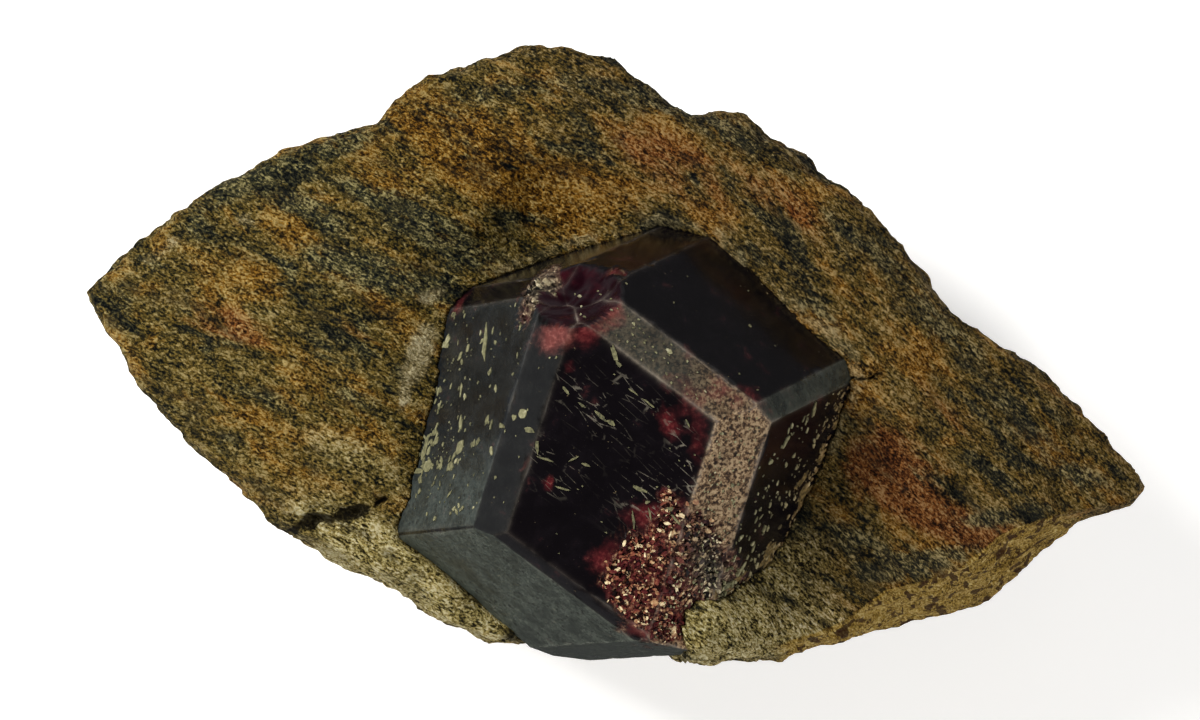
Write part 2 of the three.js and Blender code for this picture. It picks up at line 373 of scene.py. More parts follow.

# %% Where dust, painted sheen and painted red light show
# Places are mm from the crystal's centre, seen from above: x, y, half width, half height, turn,
# and strength.
# Painted red light: where cracks inside throw red back through the skin.
DEEP_RED_GLOW_PLACES = [
    (-2.6, 7.2, 1.5, 1.1, 20, 1.0),
    (4.3, 2.6, 2.0, 1.7, -40, 0.55),
    (5.3, -2.0, 0.9, 2.6, 10, 0.55),
    (2.8, 0.4, 0.8, 1.3, 20, 0.8),
    (-5.7, -3.9, 0.30, 0.55, -20, 1.0),
    (-4.4, 4.3, 0.5, 1.0, -30, 0.6),
    (8.9, 2.5, 1.5, 0.7, -35, 0.8),
    (10.5, 4.0, 2.4, 0.7, -35, 0.35),
    (2.2, -6.0, 2.6, 1.0, 15, 0.8),
    (-1.6, -9.6, 1.4, 1.6, -30, 0.8),
    (-12.4, 10.0, 0.5, 1.6, -35, 0.6),
    (-1.5, 13.4, 1.2, 0.9, 0, 0.3),
]
# Painted red light on the narrow strips, where thin edges throw red back.
SALMON_GLOW_PLACES = [
    (-5.2, 6.6, 1.7, 1.2, 5, 0.9),
    (-1.6, 8.6, 1.3, 1.5, -30, 0.75),
    (4.6, 4.9, 1.0, 0.8, -40, 0.3),
    (6.6, 3.0, 1.5, 1.2, -40, 0.42),
    (8.4, 1.6, 1.4, 1.2, 0, 0.3),
]


def ashen_margin(points):
    """1 where the crushed patches are grey instead of red."""
    return (spot(points, -6.4, 10.4, 1.6, 3.4, -25) + spot(points, 6.0, -10.0, 1.8, 3.6, 20)).clip(0, 1)


def low_left(points):
    """1 on the lower part of the crystal's left side."""
    return smooth_step(-points[:, 1], -1, 5) * smooth_step(-points[:, 0], 5, 8)


def face_dust_and_sheen(points):
    """Dust, partly a painted sheen of mirrored rock, on each face: most on the faces at the left, more
    of it low down, and some on the bevels.
    """
    right_end = smooth_step(points[:, 0], 3.5, 7.5)
    # Dust and painted sheen of mirrored rock together, face by face.
    dust_and_sheen = 0.66 * on_face(points, 0, 1, -1) + 0.36 * on_face(points, 1, 1, 2)
    dust_and_sheen += (0.28 - 0.15 * right_end) * on_face(points, 2, 1, 1) + 0.05 * on_face(points, 2, 1, -1)
    dust_and_sheen += 0.5 * on_face(points, -1, 2, -1) + 0.05 * on_face(points, 1, -1, 0)
    return dust_and_sheen + on_face(points, 1, 0, -1) * (0.13 + 0.36 * low_left(points))


def skin_values(points):
    """Masks that only colour the crystal: dust with a painted sheen, a bluer painted sheen, brown ground
    into the bevel face at the right, grey crushed grains, painted red light seen through the skin,
    rock left on near the contact, and pale marks. The slab's top_height comes with the slab, further
    down."""
    right_end = smooth_step(points[:, 0], 3.5, 7.5)
    tan = on_face(points, 1, 2, 1) + on_face(points, 2, 1, 1) * (0.14 + 0.50 * right_end)
    strips = on_face(points, 2, 1, -1, 0.3) + on_face(points, 2, 1, 1, 0.3) + on_face(points, 1, 2, 1, 0.3)
    above = points[:, 2] - top_height(points[:, 0], points[:, 1])
    ragged = np.maximum(above + 0.7 + 3.4 * layered_noise(points / 1.4, 81, 3), 0)
    right_side = smooth_step(points[:, 0], 3, 8) * (1 - smooth_step(points[:, 1], 0, 5))
    return {
        "dust_and_sheen": face_dust_and_sheen(points),
        "tan": tan,
        "ashen": ashen_margin(points),
        "deep red glow": painted(points, DEEP_RED_GLOW_PLACES) * smooth_step(points[:, 2], -2, 3),
        "salmon_glow": painted(points, SALMON_GLOW_PLACES) * strips.clip(0, 1),
        "crust": np.exp(-ragged / 0.5) * right_side,
        # Painted cool sheen on the left faces, from what they mirror.
        "cool_sheen": on_face(points, 1, 0, -1) * (1 - 0.6 * low_left(points)) + on_face(points, 1, -1, 0),
        "mark": painted(points, MARK_PLACES) * on_face(points, 1, 1, 0),
    }


# %% [markdown]
# ## Making meshes
# The same few lines put every array into a mesh: points, faces, smooth shading, and named values
# on the points that the shaders read.

# %% From arrays to objects
def make_piece(name, points, faces, values, material):
    """A mesh object at the origin. points are mm from the crystal's centre; faces is a list of index
    arrays, one per face size; values is a dictionary of one number or one vector per point."""
    mesh = bpy.data.meshes.new(name)
    points = (points + CENTRE) * MM
    sizes = np.concatenate([np.full(len(f), f.shape[1]) for f in faces])
    index = np.concatenate([f.reshape(-1) for f in faces]).astype(np.int32)
    mesh.vertices.add(len(points))
    mesh.vertices.foreach_set("co", points.reshape(-1))
    mesh.loops.add(len(index))
    mesh.loops.foreach_set("vertex_index", index)
    mesh.polygons.add(len(sizes))
    mesh.polygons.foreach_set("loop_start", (np.cumsum(sizes) - sizes).astype(np.int32))
    mesh.polygons.foreach_set("use_smooth", np.ones(len(sizes), bool))
    for label, value in values.items():
        kind, field = ("FLOAT", "value") if value.ndim == 1 else ("FLOAT_VECTOR", "vector")
        mesh.attributes.new(label, kind, "POINT").data.foreach_set(field, value.reshape(-1))
    mesh.update(calc_edges=True)
    mesh.validate()
    mesh.materials.append(material)
    piece = bpy.data.objects.new(name, mesh)
    bpy.context.scene.collection.objects.link(piece)
    print(name, "has", len(points), "points and", int((sizes - 2).sum()), "triangles")
    return piece


# %% [markdown]
# ## The slab's base shape
# The slab is a broken piece of schist about 80 mm long. Its outline is measured from the packed
# solid with rays, and its top is a gently tilted plane with a break face at the front left, a tongue
# of rock up the crystal's lower right shoulder and a dip behind the crystal. The numbers of the top
# are those of the solid, in mm.

# %% Outline and top of the slab
STATIONS = 560


def measured_reach(bearings):
    """Distance from the crystal's axis to the slab's side along each bearing: rays are shot inwards
    at a few heights, and the hit that is furthest along the bearing counts."""
    triangles = solid_triangles("schist_matrix").reshape(-1, 3)
    tree = BVHTree.FromPolygons(triangles.tolist(), np.arange(len(triangles)).reshape(-1, 3).tolist())
    reach = []
    for bearing in bearings:
        way = Vector((np.cos(bearing), np.sin(bearing), 0))
        hits = [tree.ray_cast(way * 60 + Vector((0, 0, z)), -way)[0] for z in HEIGHTS]
        reach.append(max(hit.dot(way) for hit in hits if hit))
    return np.array(reach)


HEIGHTS = np.linspace(-14, 6, 11)
coarse = np.linspace(-np.pi, np.pi, 361)
coarse_reach = measured_reach(coarse)
walk = np.hypot(np.diff(coarse_reach), np.diff(coarse) * coarse_reach[1:])
walked = np.concatenate([[0], np.cumsum(walk)])
BEARINGS = np.interp(np.arange(STATIONS) / STATIONS * walked[-1], walked, coarse)
REACH = np.interp(BEARINGS, coarse, coarse_reach)
print("way round the slab, mm:", round(walked[-1], 1))

SHOULDER_RISE, TILT_X, TILT_Y, TILT_REACH = 4.6, 0.09, 0.07, 22
DROOP_START, DROOP = 18, 0.0075
CREASE_X, CREASE_Y, CREASE_HEADING, CREASE_RISE, CREASE_SLOPE = -17.4, -5.7, 7, 4.2, 0.46
TONGUE_X, TONGUE_Y, TONGUE_RISE, TONGUE_SPREAD = 4.6, -14, 7.5, 4
DIP_X, DIP_Y, DIP_RISE, DIP_SPREAD = -4.5, 16, -3, 3.6
CREST = 0.35  # mm over which the crease is rounded
BASE = -CENTRE[2]


def swelling(x, y, middle_x, middle_y, rise, spread):
    """A round rise or dip: e to minus half the square of the distance over the spread."""
    return rise * np.exp(-((x - middle_x) ** 2 + (y - middle_y) ** 2) / (2 * spread**2))


def top_height(x, y):
    """Height of the top: a plane whose tilt fades out with tanh, less a droop that grows with the
    square of the distance, cut by the front left break face, plus the tongue and the dip."""
    beyond = np.maximum(0, np.hypot(x, y) - DROOP_START)
    fade_x, fade_y = (TILT_REACH * np.tanh(v / TILT_REACH) for v in (x, y))
    main = SHOULDER_RISE + TILT_X * fade_x + TILT_Y * fade_y - DROOP * beyond**2
    heading = np.radians(CREASE_HEADING)
    past = (x - CREASE_X) * np.sin(heading) - (y - CREASE_Y) * np.cos(heading)
    face = np.where(x < 2, CREASE_RISE - CREASE_SLOPE * past, 99)
    lowered = (main + face - np.sqrt((main - face) ** 2 + CREST**2)) / 2
    tongue = swelling(x, y, TONGUE_X, TONGUE_Y, TONGUE_RISE, TONGUE_SPREAD)
    return lowered + tongue + swelling(x, y, DIP_X, DIP_Y, DIP_RISE, DIP_SPREAD)


print("top of the slab at the crystal's axis, mm:", top_height(0.0, 0.0).round(2))

# %% [markdown]
# ## The slab's relief
# Schist splits into thin plates, and its minerals are drawn out into lines. On this slab the lines
# run down to the right across the top, and on the sides the plates show as layers. So the relief is
# noise stretched along the lines on the top and along the layers on the sides, over a slow swell,
# with a grain on everything. Each profile below is one vertical cut of the slab, from its top
# middle round to its bottom middle, worked out for all bearings at once.

# %% Profiles of the slab
LINE_HEADING = -28  # degrees, the way the drawn-out minerals run
TOP_SAMPLES, WALL_SAMPLES, UNDER_SAMPLES = 400, 170, 40
RIM_SETBACK, SLANT_SETBACK = 0.9, 3.4  # mm from the outline in to the top's rim
UNDERCUT = 2.4  # mm from the outline in to the wall's foot
BELLY_SHARE, SLANT_BELLY_SHARE = 0.72, 0.30  # height of the outline, as a share of the wall's
FOOT_LIFT, FOOT_SLOPE, FOOT_START = 1.4, 0.2, 16  # mm off the ground, and its rise beyond a reach
FLAT_SHARE = 0.62  # of the outline's reach that rests on the ground


def slant_share():
    """1 along the slanted break face at the front right, 0 elsewhere."""
    angle = np.degrees(BEARINGS)
    return smooth_step(angle, -47, -21) * (1 - smooth_step(angle, -15, -6))


def slab_profiles():
    """Smooth profiles and their outward directions, as arrays of bearing by sample by 3. The top is
    straight out from the axis; the wall is a quadratic curve through the outline; the underside
    rises from its flat middle to the foot of the wall as a parabola."""
    ray = np.stack([np.cos(BEARINGS), np.sin(BEARINGS)], axis=1)
    slant = slant_share()
    rim = REACH - RIM_SETBACK - (SLANT_SETBACK - RIM_SETBACK) * slant
    rim_height = top_height(*(ray * rim[:, None]).T)
    foot = REACH - UNDERCUT
    lift = BASE + FOOT_LIFT + FOOT_SLOPE * np.maximum(0, REACH - FOOT_START)
    belly_share = BELLY_SHARE + (SLANT_BELLY_SHARE - BELLY_SHARE) * slant
    belly = lift + (rim_height - lift) * belly_share
    t = np.linspace(0, 1, WALL_SAMPLES + 1)[None, 1:]
    bend_r = 2 * REACH - (rim + foot) / 2
    bend_z = 2 * belly - (rim_height + lift) / 2
    ends = [(rim, bend_r, foot), (rim_height, bend_z, lift)]
    wall_r, wall_z = (
        a[:, None] * (1 - t) ** 2 + 2 * b[:, None] * t * (1 - t) + c[:, None] * t**2 for a, b, c in ends
    )
    top_r = rim[:, None] * np.linspace(0, 1, TOP_SAMPLES + 1)[None]
    top_z = top_height(top_r * ray[:, :1], top_r * ray[:, 1:])
    u = np.linspace(0, 1, UNDER_SAMPLES + 1)[None, 1:]
    under_r = foot[:, None] * (1 - u)
    flat = FLAT_SHARE * REACH / foot
    under_z = BASE + (lift - BASE)[:, None] * np.maximum(0, 1 - u / (1 - flat[:, None])) ** 2
    r = np.hstack([top_r, wall_r, under_r])
    z = np.hstack([top_z, wall_z, under_z])
    along_r, along_z = np.gradient(r, axis=1), np.gradient(z, axis=1)
    length = np.hypot(along_r, along_z) + 1e-9
    points = np.stack([r * ray[:, :1], r * ray[:, 1:], z], axis=-1)
    out_r = -along_z / length
    outward = np.stack([out_r * ray[:, :1], out_r * ray[:, 1:], along_r / length], axis=-1)
    return points, outward


LINE_BEND, BEND_START, BEND_FADE = 0.30, 4, 5


def along_lines(points, length=1, width=1, depth=1):
    """Points in coordinates whose first runs along the drawn-out minerals, each over its own size.
    Right of BEND_START the lines turn steeper: across grows by LINE_BEND per mm of x, and the turn
    fades in as log(1 + e^t)."""
    c, s = np.cos(np.radians(LINE_HEADING)), np.sin(np.radians(LINE_HEADING))
    along = points[..., 0] * c + points[..., 1] * s
    across = points[..., 1] * c - points[..., 0] * s
    across = across + LINE_BEND * BEND_FADE * np.logaddexp(0, (points[..., 0] - BEND_START) / BEND_FADE)
    return np.stack([along / length, across / width, points[..., 2] / depth], axis=-1)


def near_segment(points, start_x, start_y, end_x, end_y, width):
    """1 on a straight line seen from above, falling to e^-1 at its width."""
    along = np.array([end_x - start_x, end_y - start_y])
    way = points[..., :2] - [start_x, start_y]
    share = np.clip(way @ along / (along @ along), 0, 1)
    apart = np.linalg.norm(way - share[..., None] * along, axis=-1)
    return np.exp(-((apart / width) ** 2))


# Cracks with painted shadow in them; at the front left, painted shadow under a ledge.
CRACKS_AND_LEDGE_SHADOW = [  # start and end seen from above, and half width, mm
    (16.3, 4.3, 18.6, 4.6, 0.22),
    # These three are painted shadow under the ledge of the front left break face, over a shallow cut.
    (-26.4, -7.4, -23.4, -5.8, 0.55),
    (-23.4, -5.8, -20.6, -5.4, 0.70),
    (-20.6, -5.4, -18.4, -4.5, 0.35),
    (-29.6, 13.2, -29.2, 14.1, 0.14),
    (28.8, -0.9, 29.4, -0.7, 0.18),
    (-1.0, 27.4, 1.0, 27.0, 0.18),
]


def slab_relief(points, outward):
    """Relief in mm, and masks for the shader: painted shade in the hollows, the groove at the crystal
    with painted shadow in it, the lip, and the cracks with painted shadow in them."""
    upward = smooth_step(outward[..., 2], 0.3, 0.8)
    side = 1 - smooth_step(np.abs(outward[..., 2]), 0.35, 0.85)
    near = beyond_crystal(points)
    swell = 0.55 * layered_noise(points / 9, 101, 2)
    ridges = noise(along_lines(points, 6, 1.5, 3), 111)
    threads = noise(along_lines(points, 2.0, 0.55, 1), 121)
    plates = smooth_step(noise(along_lines(points, 11, 4.5, 5), 131), -0.05, 0.05)
    grain = noise(points / 0.42, 141)
    layers = noise(along_lines(points, 7, 7, 0.55), 151)
    blocks = layered_noise(points / 2.3, 161, 3)
    fine = 0.18 * threads + 0.10 * grain
    top = 0.34 * ridges + 0.26 * (plates - 0.5) + fine
    wall = 0.28 * layers + 0.42 * blocks + 0.07 * grain
    calm = smooth_step(points[..., 2], BASE + 0.2, BASE + 1.5)
    relief = (swell + upward * top + side * wall) * calm
    lower_left = smooth_step(-points[..., 0], 6, 10) * smooth_step(-points[..., 1], 5, 8)
    # The groove is cut into the rock, and its mask also paints shadow into it.
    groove = np.exp(-(np.maximum(near, 0) / 0.5) ** 2) * (0.10 + 1.25 * lower_left)
    behind = smooth_step(points[..., 1] + 0.6 * points[..., 0], 5, 9)
    lip = np.exp(-(((near - 0.5) / 0.4) ** 2)) * behind * smooth_step(noise(points / 2.2, 171), -0.5, 0.2)
    wander = points + 0.5 * layered_noise(points / 1.1, 181, 2)[..., None]
    broken = smooth_step(noise(points / 0.8, 191), -0.7, 0.1)
    # Cracks cut into the rock, and the same mask paints shadow into them.
    crack = broken * sum(near_segment(wander, *ends) for ends in CRACKS_AND_LEDGE_SHADOW)
    # Painted shade: the colour darkens in the hollows of the relief.
    hollow = smooth_step(-(ridges + 0.8 * threads + 0.5 * grain), 0.1, 1.0) * upward
    relief += (0.22 * lip - groove - 0.55 * crack) * upward
    return relief, {"hollow": hollow, "groove": groove / 1.35, "lip": lip, "crack": crack}


# %% [markdown]
# ## Where the slab is stained
# Iron from the garnet and the mica has rusted along the layers, chlorite has left green-black bands,
# and a lump of quartz sits beside the crystal. A texture of noise alone would put such stains
# anywhere. Their places matter, so each is a soft oval in a list, and its sum is kept on the mesh's
# points. The shader later frays the ovals with noise, so that none looks like an oval.

# %% Stains on the slab
# Places as before: x, y, half width, half height, turn, strength.
ORANGE_PLACES = [
    (-12.5, 22.6, 8.5, 3.0, -24, 0.95),
    (-7.0, 18.4, 6.0, 2.0, -24, 0.9),
    (-1.0, 21.0, 5.0, 2.4, -28, 0.4),
    (-18.0, 19.0, 3.6, 1.3, -24, 0.6),
    (-33.0, 10.5, 4.0, 1.6, -20, 0.35),
    (-27.0, 12.2, 3.0, 1.6, -20, 0.6),
    (-24.0, 6.0, 5.0, 1.8, -24, 0.45),
    (-17.5, 9.4, 2.8, 1.2, -30, 0.7),
    (17.3, 2.4, 1.6, 2.0, 0, 0.7),
    (21.5, 5.5, 4.5, 1.6, -30, 0.55),
    (16.0, -6.0, 1.4, 2.0, 10, 0.6),
    (-26.0, -0.5, 4.5, 1.6, -24, 0.35),
    (31.0, -1.5, 3.0, 1.2, -25, 0.4),
]
RUST_PLACES = [
    (18.6, -1.6, 2.2, 2.4, -30, 1.1),
    (21.0, -3.4, 3.6, 2.0, -34, 1.1),
    (26.0, -6.9, 4.4, 1.2, -18, 1.3),
    (3.0, 20.5, 6.0, 2.4, -30, 0.5),
    (12.0, 17.0, 5.0, 2.0, -35, 0.4),
    (-30.0, 8.6, 4.0, 1.8, -20, 0.6),
    (-20.5, 8.2, 2.0, 0.8, -35, 0.6),
    (24.0, 2.0, 5.0, 2.0, -30, 0.35),
]
GREEN_PLACES = [
    (-25.0, 18.0, 4.2, 1.0, -24, 1.0),
    (-30.5, 18.6, 3.0, 1.0, 30, 0.8),
    (-22.5, 21.9, 4.5, 0.9, 18, 1.0),
    (-17.0, 17.6, 4.5, 1.0, -24, 0.9),
    (-13.5, 14.8, 4.5, 1.4, -24, 0.9),
    (-31.0, 15.4, 3.0, 1.2, -20, 0.6),
    (-17.6, 12.4, 4.5, 1.1, -26, 0.8),
    (1.5, 25.6, 5.0, 1.0, -12, 0.8),
    (-9.0, 26.2, 5.0, 0.9, 6, 0.7),
    (-27.0, 3.2, 3.0, 0.9, -28, 0.5),
    (-13.0, 11.0, 3.0, 0.9, -24, 0.7),
    (-21.5, 12.8, 4.0, 1.2, -24, 0.7),
    (-38.0, 10.5, 1.6, 2.2, 0, 0.5),
    (-20.0, 3.0, 3.0, 1.0, -30, 0.5),
    (18.0, -8.4, 5.0, 1.4, -28, 0.7),
    (21.5, -9.2, 4.6, 0.9, 12, 1.0),
    (29.0, -5.6, 4.0, 0.7, 8, 0.9),
    (29.5, 0.8, 2.2, 1.0, -25, 0.8),
    (33.5, -2.6, 3.0, 1.0, -25, 0.8),
    (8.0, 22.6, 5.5, 1.2, -30, 0.8),
    (18.0, 14.0, 6.0, 1.0, -38, 0.6),
    (23.0, 8.4, 5.0, 1.0, -38, 0.7),
    (14.0, 9.6, 3.0, 1.0, -38, 0.6),
]
QUARTZ_PLACES = [
    (-15.3, 7.0, 1.0, 1.7, -18, 0.8),
    (-15.9, 5.2, 0.8, 1.6, -16, 0.7),
    (-16.5, 3.6, 0.4, 1.4, -12, 0.7),
    (-14.6, 10.8, 1.8, 0.6, 25, 0.55),
    (-28.6, 16.6, 1.0, 0.7, -20, 0.5),
    (-35.0, 14.6, 3.0, 0.6, 35, 0.35),
    (-28.0, 21.0, 3.0, 0.5, 30, 0.5),
    (-19.5, 25.4, 1.8, 0.6, 40, 0.6),
]
YELLOW_PLACES = [
    (10.0, -13.8, 5.5, 3.0, -5, 1.4),
    (5.0, -15.0, 3.0, 1.8, 20, 1.2),
    (12.5, -8.6, 3.6, 2.6, 50, 0.8),
    (-19.0, -8.0, 7.0, 2.4, -28, 0.9),
    (-11.0, -12.0, 5.0, 2.4, -30, 1.0),
    (-20.0, -1.5, 6.0, 1.6, -28, 0.4),
]


def stain_values(points):
    """How strongly each stain colours the slab, at every point, and how dark its right half is, partly
    stain and partly painted shade. Down the walls the stains wander, so that they don't hang down in
    stripes."""
    down = np.maximum(0, top_height(points[:, 0], points[:, 1]) - points[:, 2] - 1)
    drift_x, drift_y = 0.5 + 0.5 * noise(points / 5, 201), -0.3 + 0.5 * noise(points / 5, 202)
    place = points + np.stack([down * drift_x, down * drift_y, 0 * down], axis=1)
    return {
        "orange": painted(place, ORANGE_PLACES),
        "rust": painted(place, RUST_PLACES),
        "green": painted(place, GREEN_PLACES),
        "quartz": painted(place, QUARTZ_PLACES),
        "yellow": painted(place, YELLOW_PLACES),
        # The right half darker: partly stain, partly painted shade.
        "dusk": smooth_step(points[:, 0] + 0.5 * points[:, 1], -4, 14),
        "lines": along_lines(points),
    }


PLACE_LISTS = ORANGE_PLACES, RUST_PLACES, GREEN_PLACES, QUARTZ_PLACES, YELLOW_PLACES
print("stains on the slab:", sum(len(places) for places in PLACE_LISTS))

# %% [markdown]
# ## Where rock meets crystal
# The slab has a socket that fits the crystal. A boolean cut would make it, but leaves a ragged ring
# of slivers just where the eye rests. The crystal is convex, so there is a cleaner way: walk out
# along each profile, find where it last leaves the crystal, and start the visible surface there.
# Below that point the grid follows the crystal's planes down to the bottom of the socket.

# %% The slab as one grid
SOCKET_GAP = 0.04
SOCKET_ROWS, VISIBLE_ROWS = 14, 150
UNDER_WEIGHT = 0.25  # share of the usual rows that the underside gets


def socket_rows(contact):
    """Rows from the socket's bottom to the contact ring. On each bearing the direction from the
    crystal's centre turns evenly from straight down to the contact, and the distance along it is
    the smallest that any plane allows, plus the gap."""
    flat = np.hypot(contact[:, 0], contact[:, 1])
    tilt_end = np.arctan2(contact[:, 2], flat)
    share = np.linspace(0, 1, SOCKET_ROWS + 1)[None, 1:-1]
    tilt = -np.pi / 2 + share * (tilt_end[:, None] + np.pi / 2)
    ray = contact[:, :2] / flat[:, None]
    way = np.stack([np.cos(tilt) * ray[:, :1], np.cos(tilt) * ray[:, 1:], np.sin(tilt)], axis=-1)
    toward = np.maximum(way @ NORMALS.T, 1e-6)
    return way * ((DISTANCES + SOCKET_GAP) / toward).min(axis=-1)[..., None]


def fresh_break(samples):
    """1 on the upper wall at the front right, where the rock broke last, by bearing and sample."""
    sample = np.arange(samples)
    on_wall = smooth_step(sample, TOP_SAMPLES - 4, TOP_SAMPLES + 2)
    on_upper_wall = on_wall * (1 - smooth_step(sample, TOP_SAMPLES + 90, TOP_SAMPLES + 120))
    bearing = np.degrees(BEARINGS)
    broken_off = smooth_step(bearing, -60, -48) * (1 - smooth_step(bearing, -13, -7))
    return broken_off[:, None] * on_upper_wall


def ring_faces(rows):
    """Quads between neighbouring bearings, and the fans that close the socket and the underside."""
    i, row = np.meshgrid(np.arange(STATIONS), np.arange(rows - 1), indexing="ij")
    here, after = i * rows + row, (i + 1) % STATIONS * rows + row
    quads = np.stack([here, here + 1, after + 1, after], axis=-1).reshape(-1, 4)
    ring = np.arange(STATIONS) * rows
    after_ring = np.roll(ring, -1)
    socket_middle, under_middle = np.full((2, STATIONS), STATIONS * rows) + [[0], [1]]
    top_fan = np.stack([socket_middle, ring, after_ring], axis=-1)
    low_fan = np.stack([under_middle, after_ring + rows - 1, ring + rows - 1], axis=-1)
    return [quads, np.vstack([top_fan, low_fan])]


def slab_grid():
    """Points, faces and values of the slab. On each bearing the rows are spread evenly along the part
    of the profile that lies outside the crystal."""
    smooth, outward = slab_profiles()
    relief, fields = slab_relief(smooth, outward)
    fields["fresh"] = fresh_break(relief.shape[1])
    profile = smooth + outward * relief[..., None]
    inside = beyond_crystal(profile) < SOCKET_GAP
    inside[:, TOP_SAMPLES + WALL_SAMPLES:] = False
    last = inside.shape[1] - 1 - np.argmax(inside[:, ::-1], axis=1)
    step = np.linalg.norm(np.diff(profile, axis=1), axis=2)
    weight = np.ones(step.shape[1])
    weight[TOP_SAMPLES + WALL_SAMPLES:] = UNDER_WEIGHT
    walked = np.concatenate([np.zeros((STATIONS, 1)), np.cumsum(step * weight, axis=1)], axis=1)
    share = np.linspace(0, 1, VISIBLE_ROWS)
    visible = np.empty((STATIONS, VISIBLE_ROWS - 1, 3))
    values = {label: np.empty((STATIONS, VISIBLE_ROWS - 1)) for label in fields}
    for i, start in enumerate(last):
        wanted = (walked[i, start] + share * (walked[i, -1] - walked[i, start]))[:-1]
        for axis in range(3):
            visible[i, :, axis] = np.interp(wanted, walked[i], profile[i, :, axis])
        for label, field in fields.items():
            values[label][i] = np.interp(wanted, walked[i], field[i])
    socket = socket_rows(visible[:, 0])
    grid = np.concatenate([socket, visible], axis=1)
    hidden = np.zeros(socket.shape[:2])
    values = {label: np.hstack([hidden, value]) for label, value in values.items()}
    down = (np.array([0, 0, -1]) @ NORMALS.T).clip(1e-6)
    bottoms = np.array([[0, 0, -((DISTANCES + SOCKET_GAP) / down).min()], [0, 0, BASE]])
    points = np.vstack([grid.reshape(-1, 3), bottoms])
    values = {label: np.append(value.reshape(-1), [0, 0]) for label, value in values.items()}
    return points, ring_faces(grid.shape[1]), values | stain_values(points)


# %% [markdown]
# ## Building materials
# A material is a small network. Written out node by node it is hard to follow, so a few helpers
# make each line of code one step of the recipe: make a node, do sums, stretch a range, mix colours.

# %% Node helpers
def add(tree, kind, inputs=None, **settings):
    """A new node with its properties set, and its inputs set to values or linked to sockets."""
    made = tree.nodes.new(kind)
    for key, value in settings.items():
        setattr(made, key, value)
    for key, value in (inputs or {}).items():
        if isinstance(value, bpy.types.NodeSocket):
            tree.links.new(value, made.inputs[key])
        else:
            made.inputs[key].default_value = value
    return made


def sum_of(tree, operation, a, b=0.0, c=0.0):
    """One sum, such as ADD or MULTIPLY."""
    return add(tree, "ShaderNodeMath", {0: a, 1: b, 2: c}, operation=operation).outputs[0]


def ramp(tree, value, start, end, low=0.0, high=1.0):
    """Stretches start..end to low..high with a smooth curve, and holds it there outside."""
    inputs = {"Value": value, "From Min": start, "From Max": end, "To Min": low, "To Max": high}
    return add(tree, "ShaderNodeMapRange", inputs, interpolation_type="SMOOTHSTEP").outputs[0]


def blended(tree, share, one, other, way="MIX"):
    """Two colours mixed: share 0 gives the first, share 1 the other."""
    mix = add(tree, "ShaderNodeMix", {0: share, 6: one, 7: other}, data_type="RGBA", blend_type=way)
    return mix.outputs[2]


def palette(tree, value, *colours):
    """Colours spread evenly from value 0 to value 1."""
    made = add(tree, "ShaderNodeValToRGB", {0: value})
    stops = made.color_ramp.elements
    for number, colour in enumerate(colours[1:-1], 1):
        stops.new(number / (len(colours) - 1)).color = colour
    stops[0].color, stops[-1].color = colours[0], colours[-1]
    return made.outputs[0]


def speckle(tree, place, size, detail=2.0, roughness=0.5, distortion=0.0):
    """Blender's own noise, from 0 to 1, with lumps of a size in mm."""
    inputs = {"Vector": place, "Scale": 1 / size, "Detail": detail}
    inputs |= {"Roughness": roughness, "Distortion": distortion}
    return add(tree, "ShaderNodeTexNoise", inputs).outputs[0]


def point_value(tree, label):
    """A value that the mesh carries on its points."""
    return add(tree, "ShaderNodeAttribute", attribute_name=label).outputs["Fac"]


def new_material(name):
    """An empty material with its output, and its Object coordinates in mm."""
    material = bpy.data.materials.new(name)
    material.use_nodes = True
    tree = material.node_tree
    tree.nodes.clear()
    coordinates = add(tree, "ShaderNodeTexCoord").outputs["Object"]
    place = add(tree, "ShaderNodeMapping", {0: coordinates, "Scale": (1 / MM,) * 3}).outputs[0]
    return material, tree, place


def finished(material, tree, colour, rough, bump_strength, bump_depth, rise, **more):
    """The material with its shader: a colour, a roughness and a bump whose depth is in mm."""
    bump = add(
        tree, "ShaderNodeBump", {"Strength": bump_strength, "Distance": bump_depth * MM, "Height": rise}
    )
    look = {"Base Color": colour, "Roughness": rough, "Normal": bump.outputs[0]} | more
    shader = add(tree, "ShaderNodeBsdfPrincipled", look)
    add(tree, "ShaderNodeOutputMaterial", {0: shader.outputs[0]})
    print(material.name, "has", len(tree.nodes), "nodes")
    return material


def new_group(name, inputs, outputs):
    """An empty node group. inputs and outputs are dictionaries of socket name to socket kind."""
    group = bpy.data.node_groups.new(name, "ShaderNodeTree")
    for direction, sockets in (("INPUT", inputs), ("OUTPUT", outputs)):
        for label, kind in sockets.items():
            group.interface.new_socket(label, in_out=direction, socket_type="NodeSocket" + kind)
    start, end = group.nodes.new("NodeGroupInput"), group.nodes.new("NodeGroupOutput")
    return group, start.outputs, end.inputs


def rgb(red, green, blue):
    """A colour as the four numbers a socket takes."""
    return (red, green, blue, 1.0)


# %% [markdown]
# ## Mineral grain
# Both pieces carry grains of the schist: the slab is made of them, and the crystal has some stuck
# on. So the grain is one node group that both materials place. Cells of random brightness are the
# grains, and noise with high contrast is the dark mica between them.

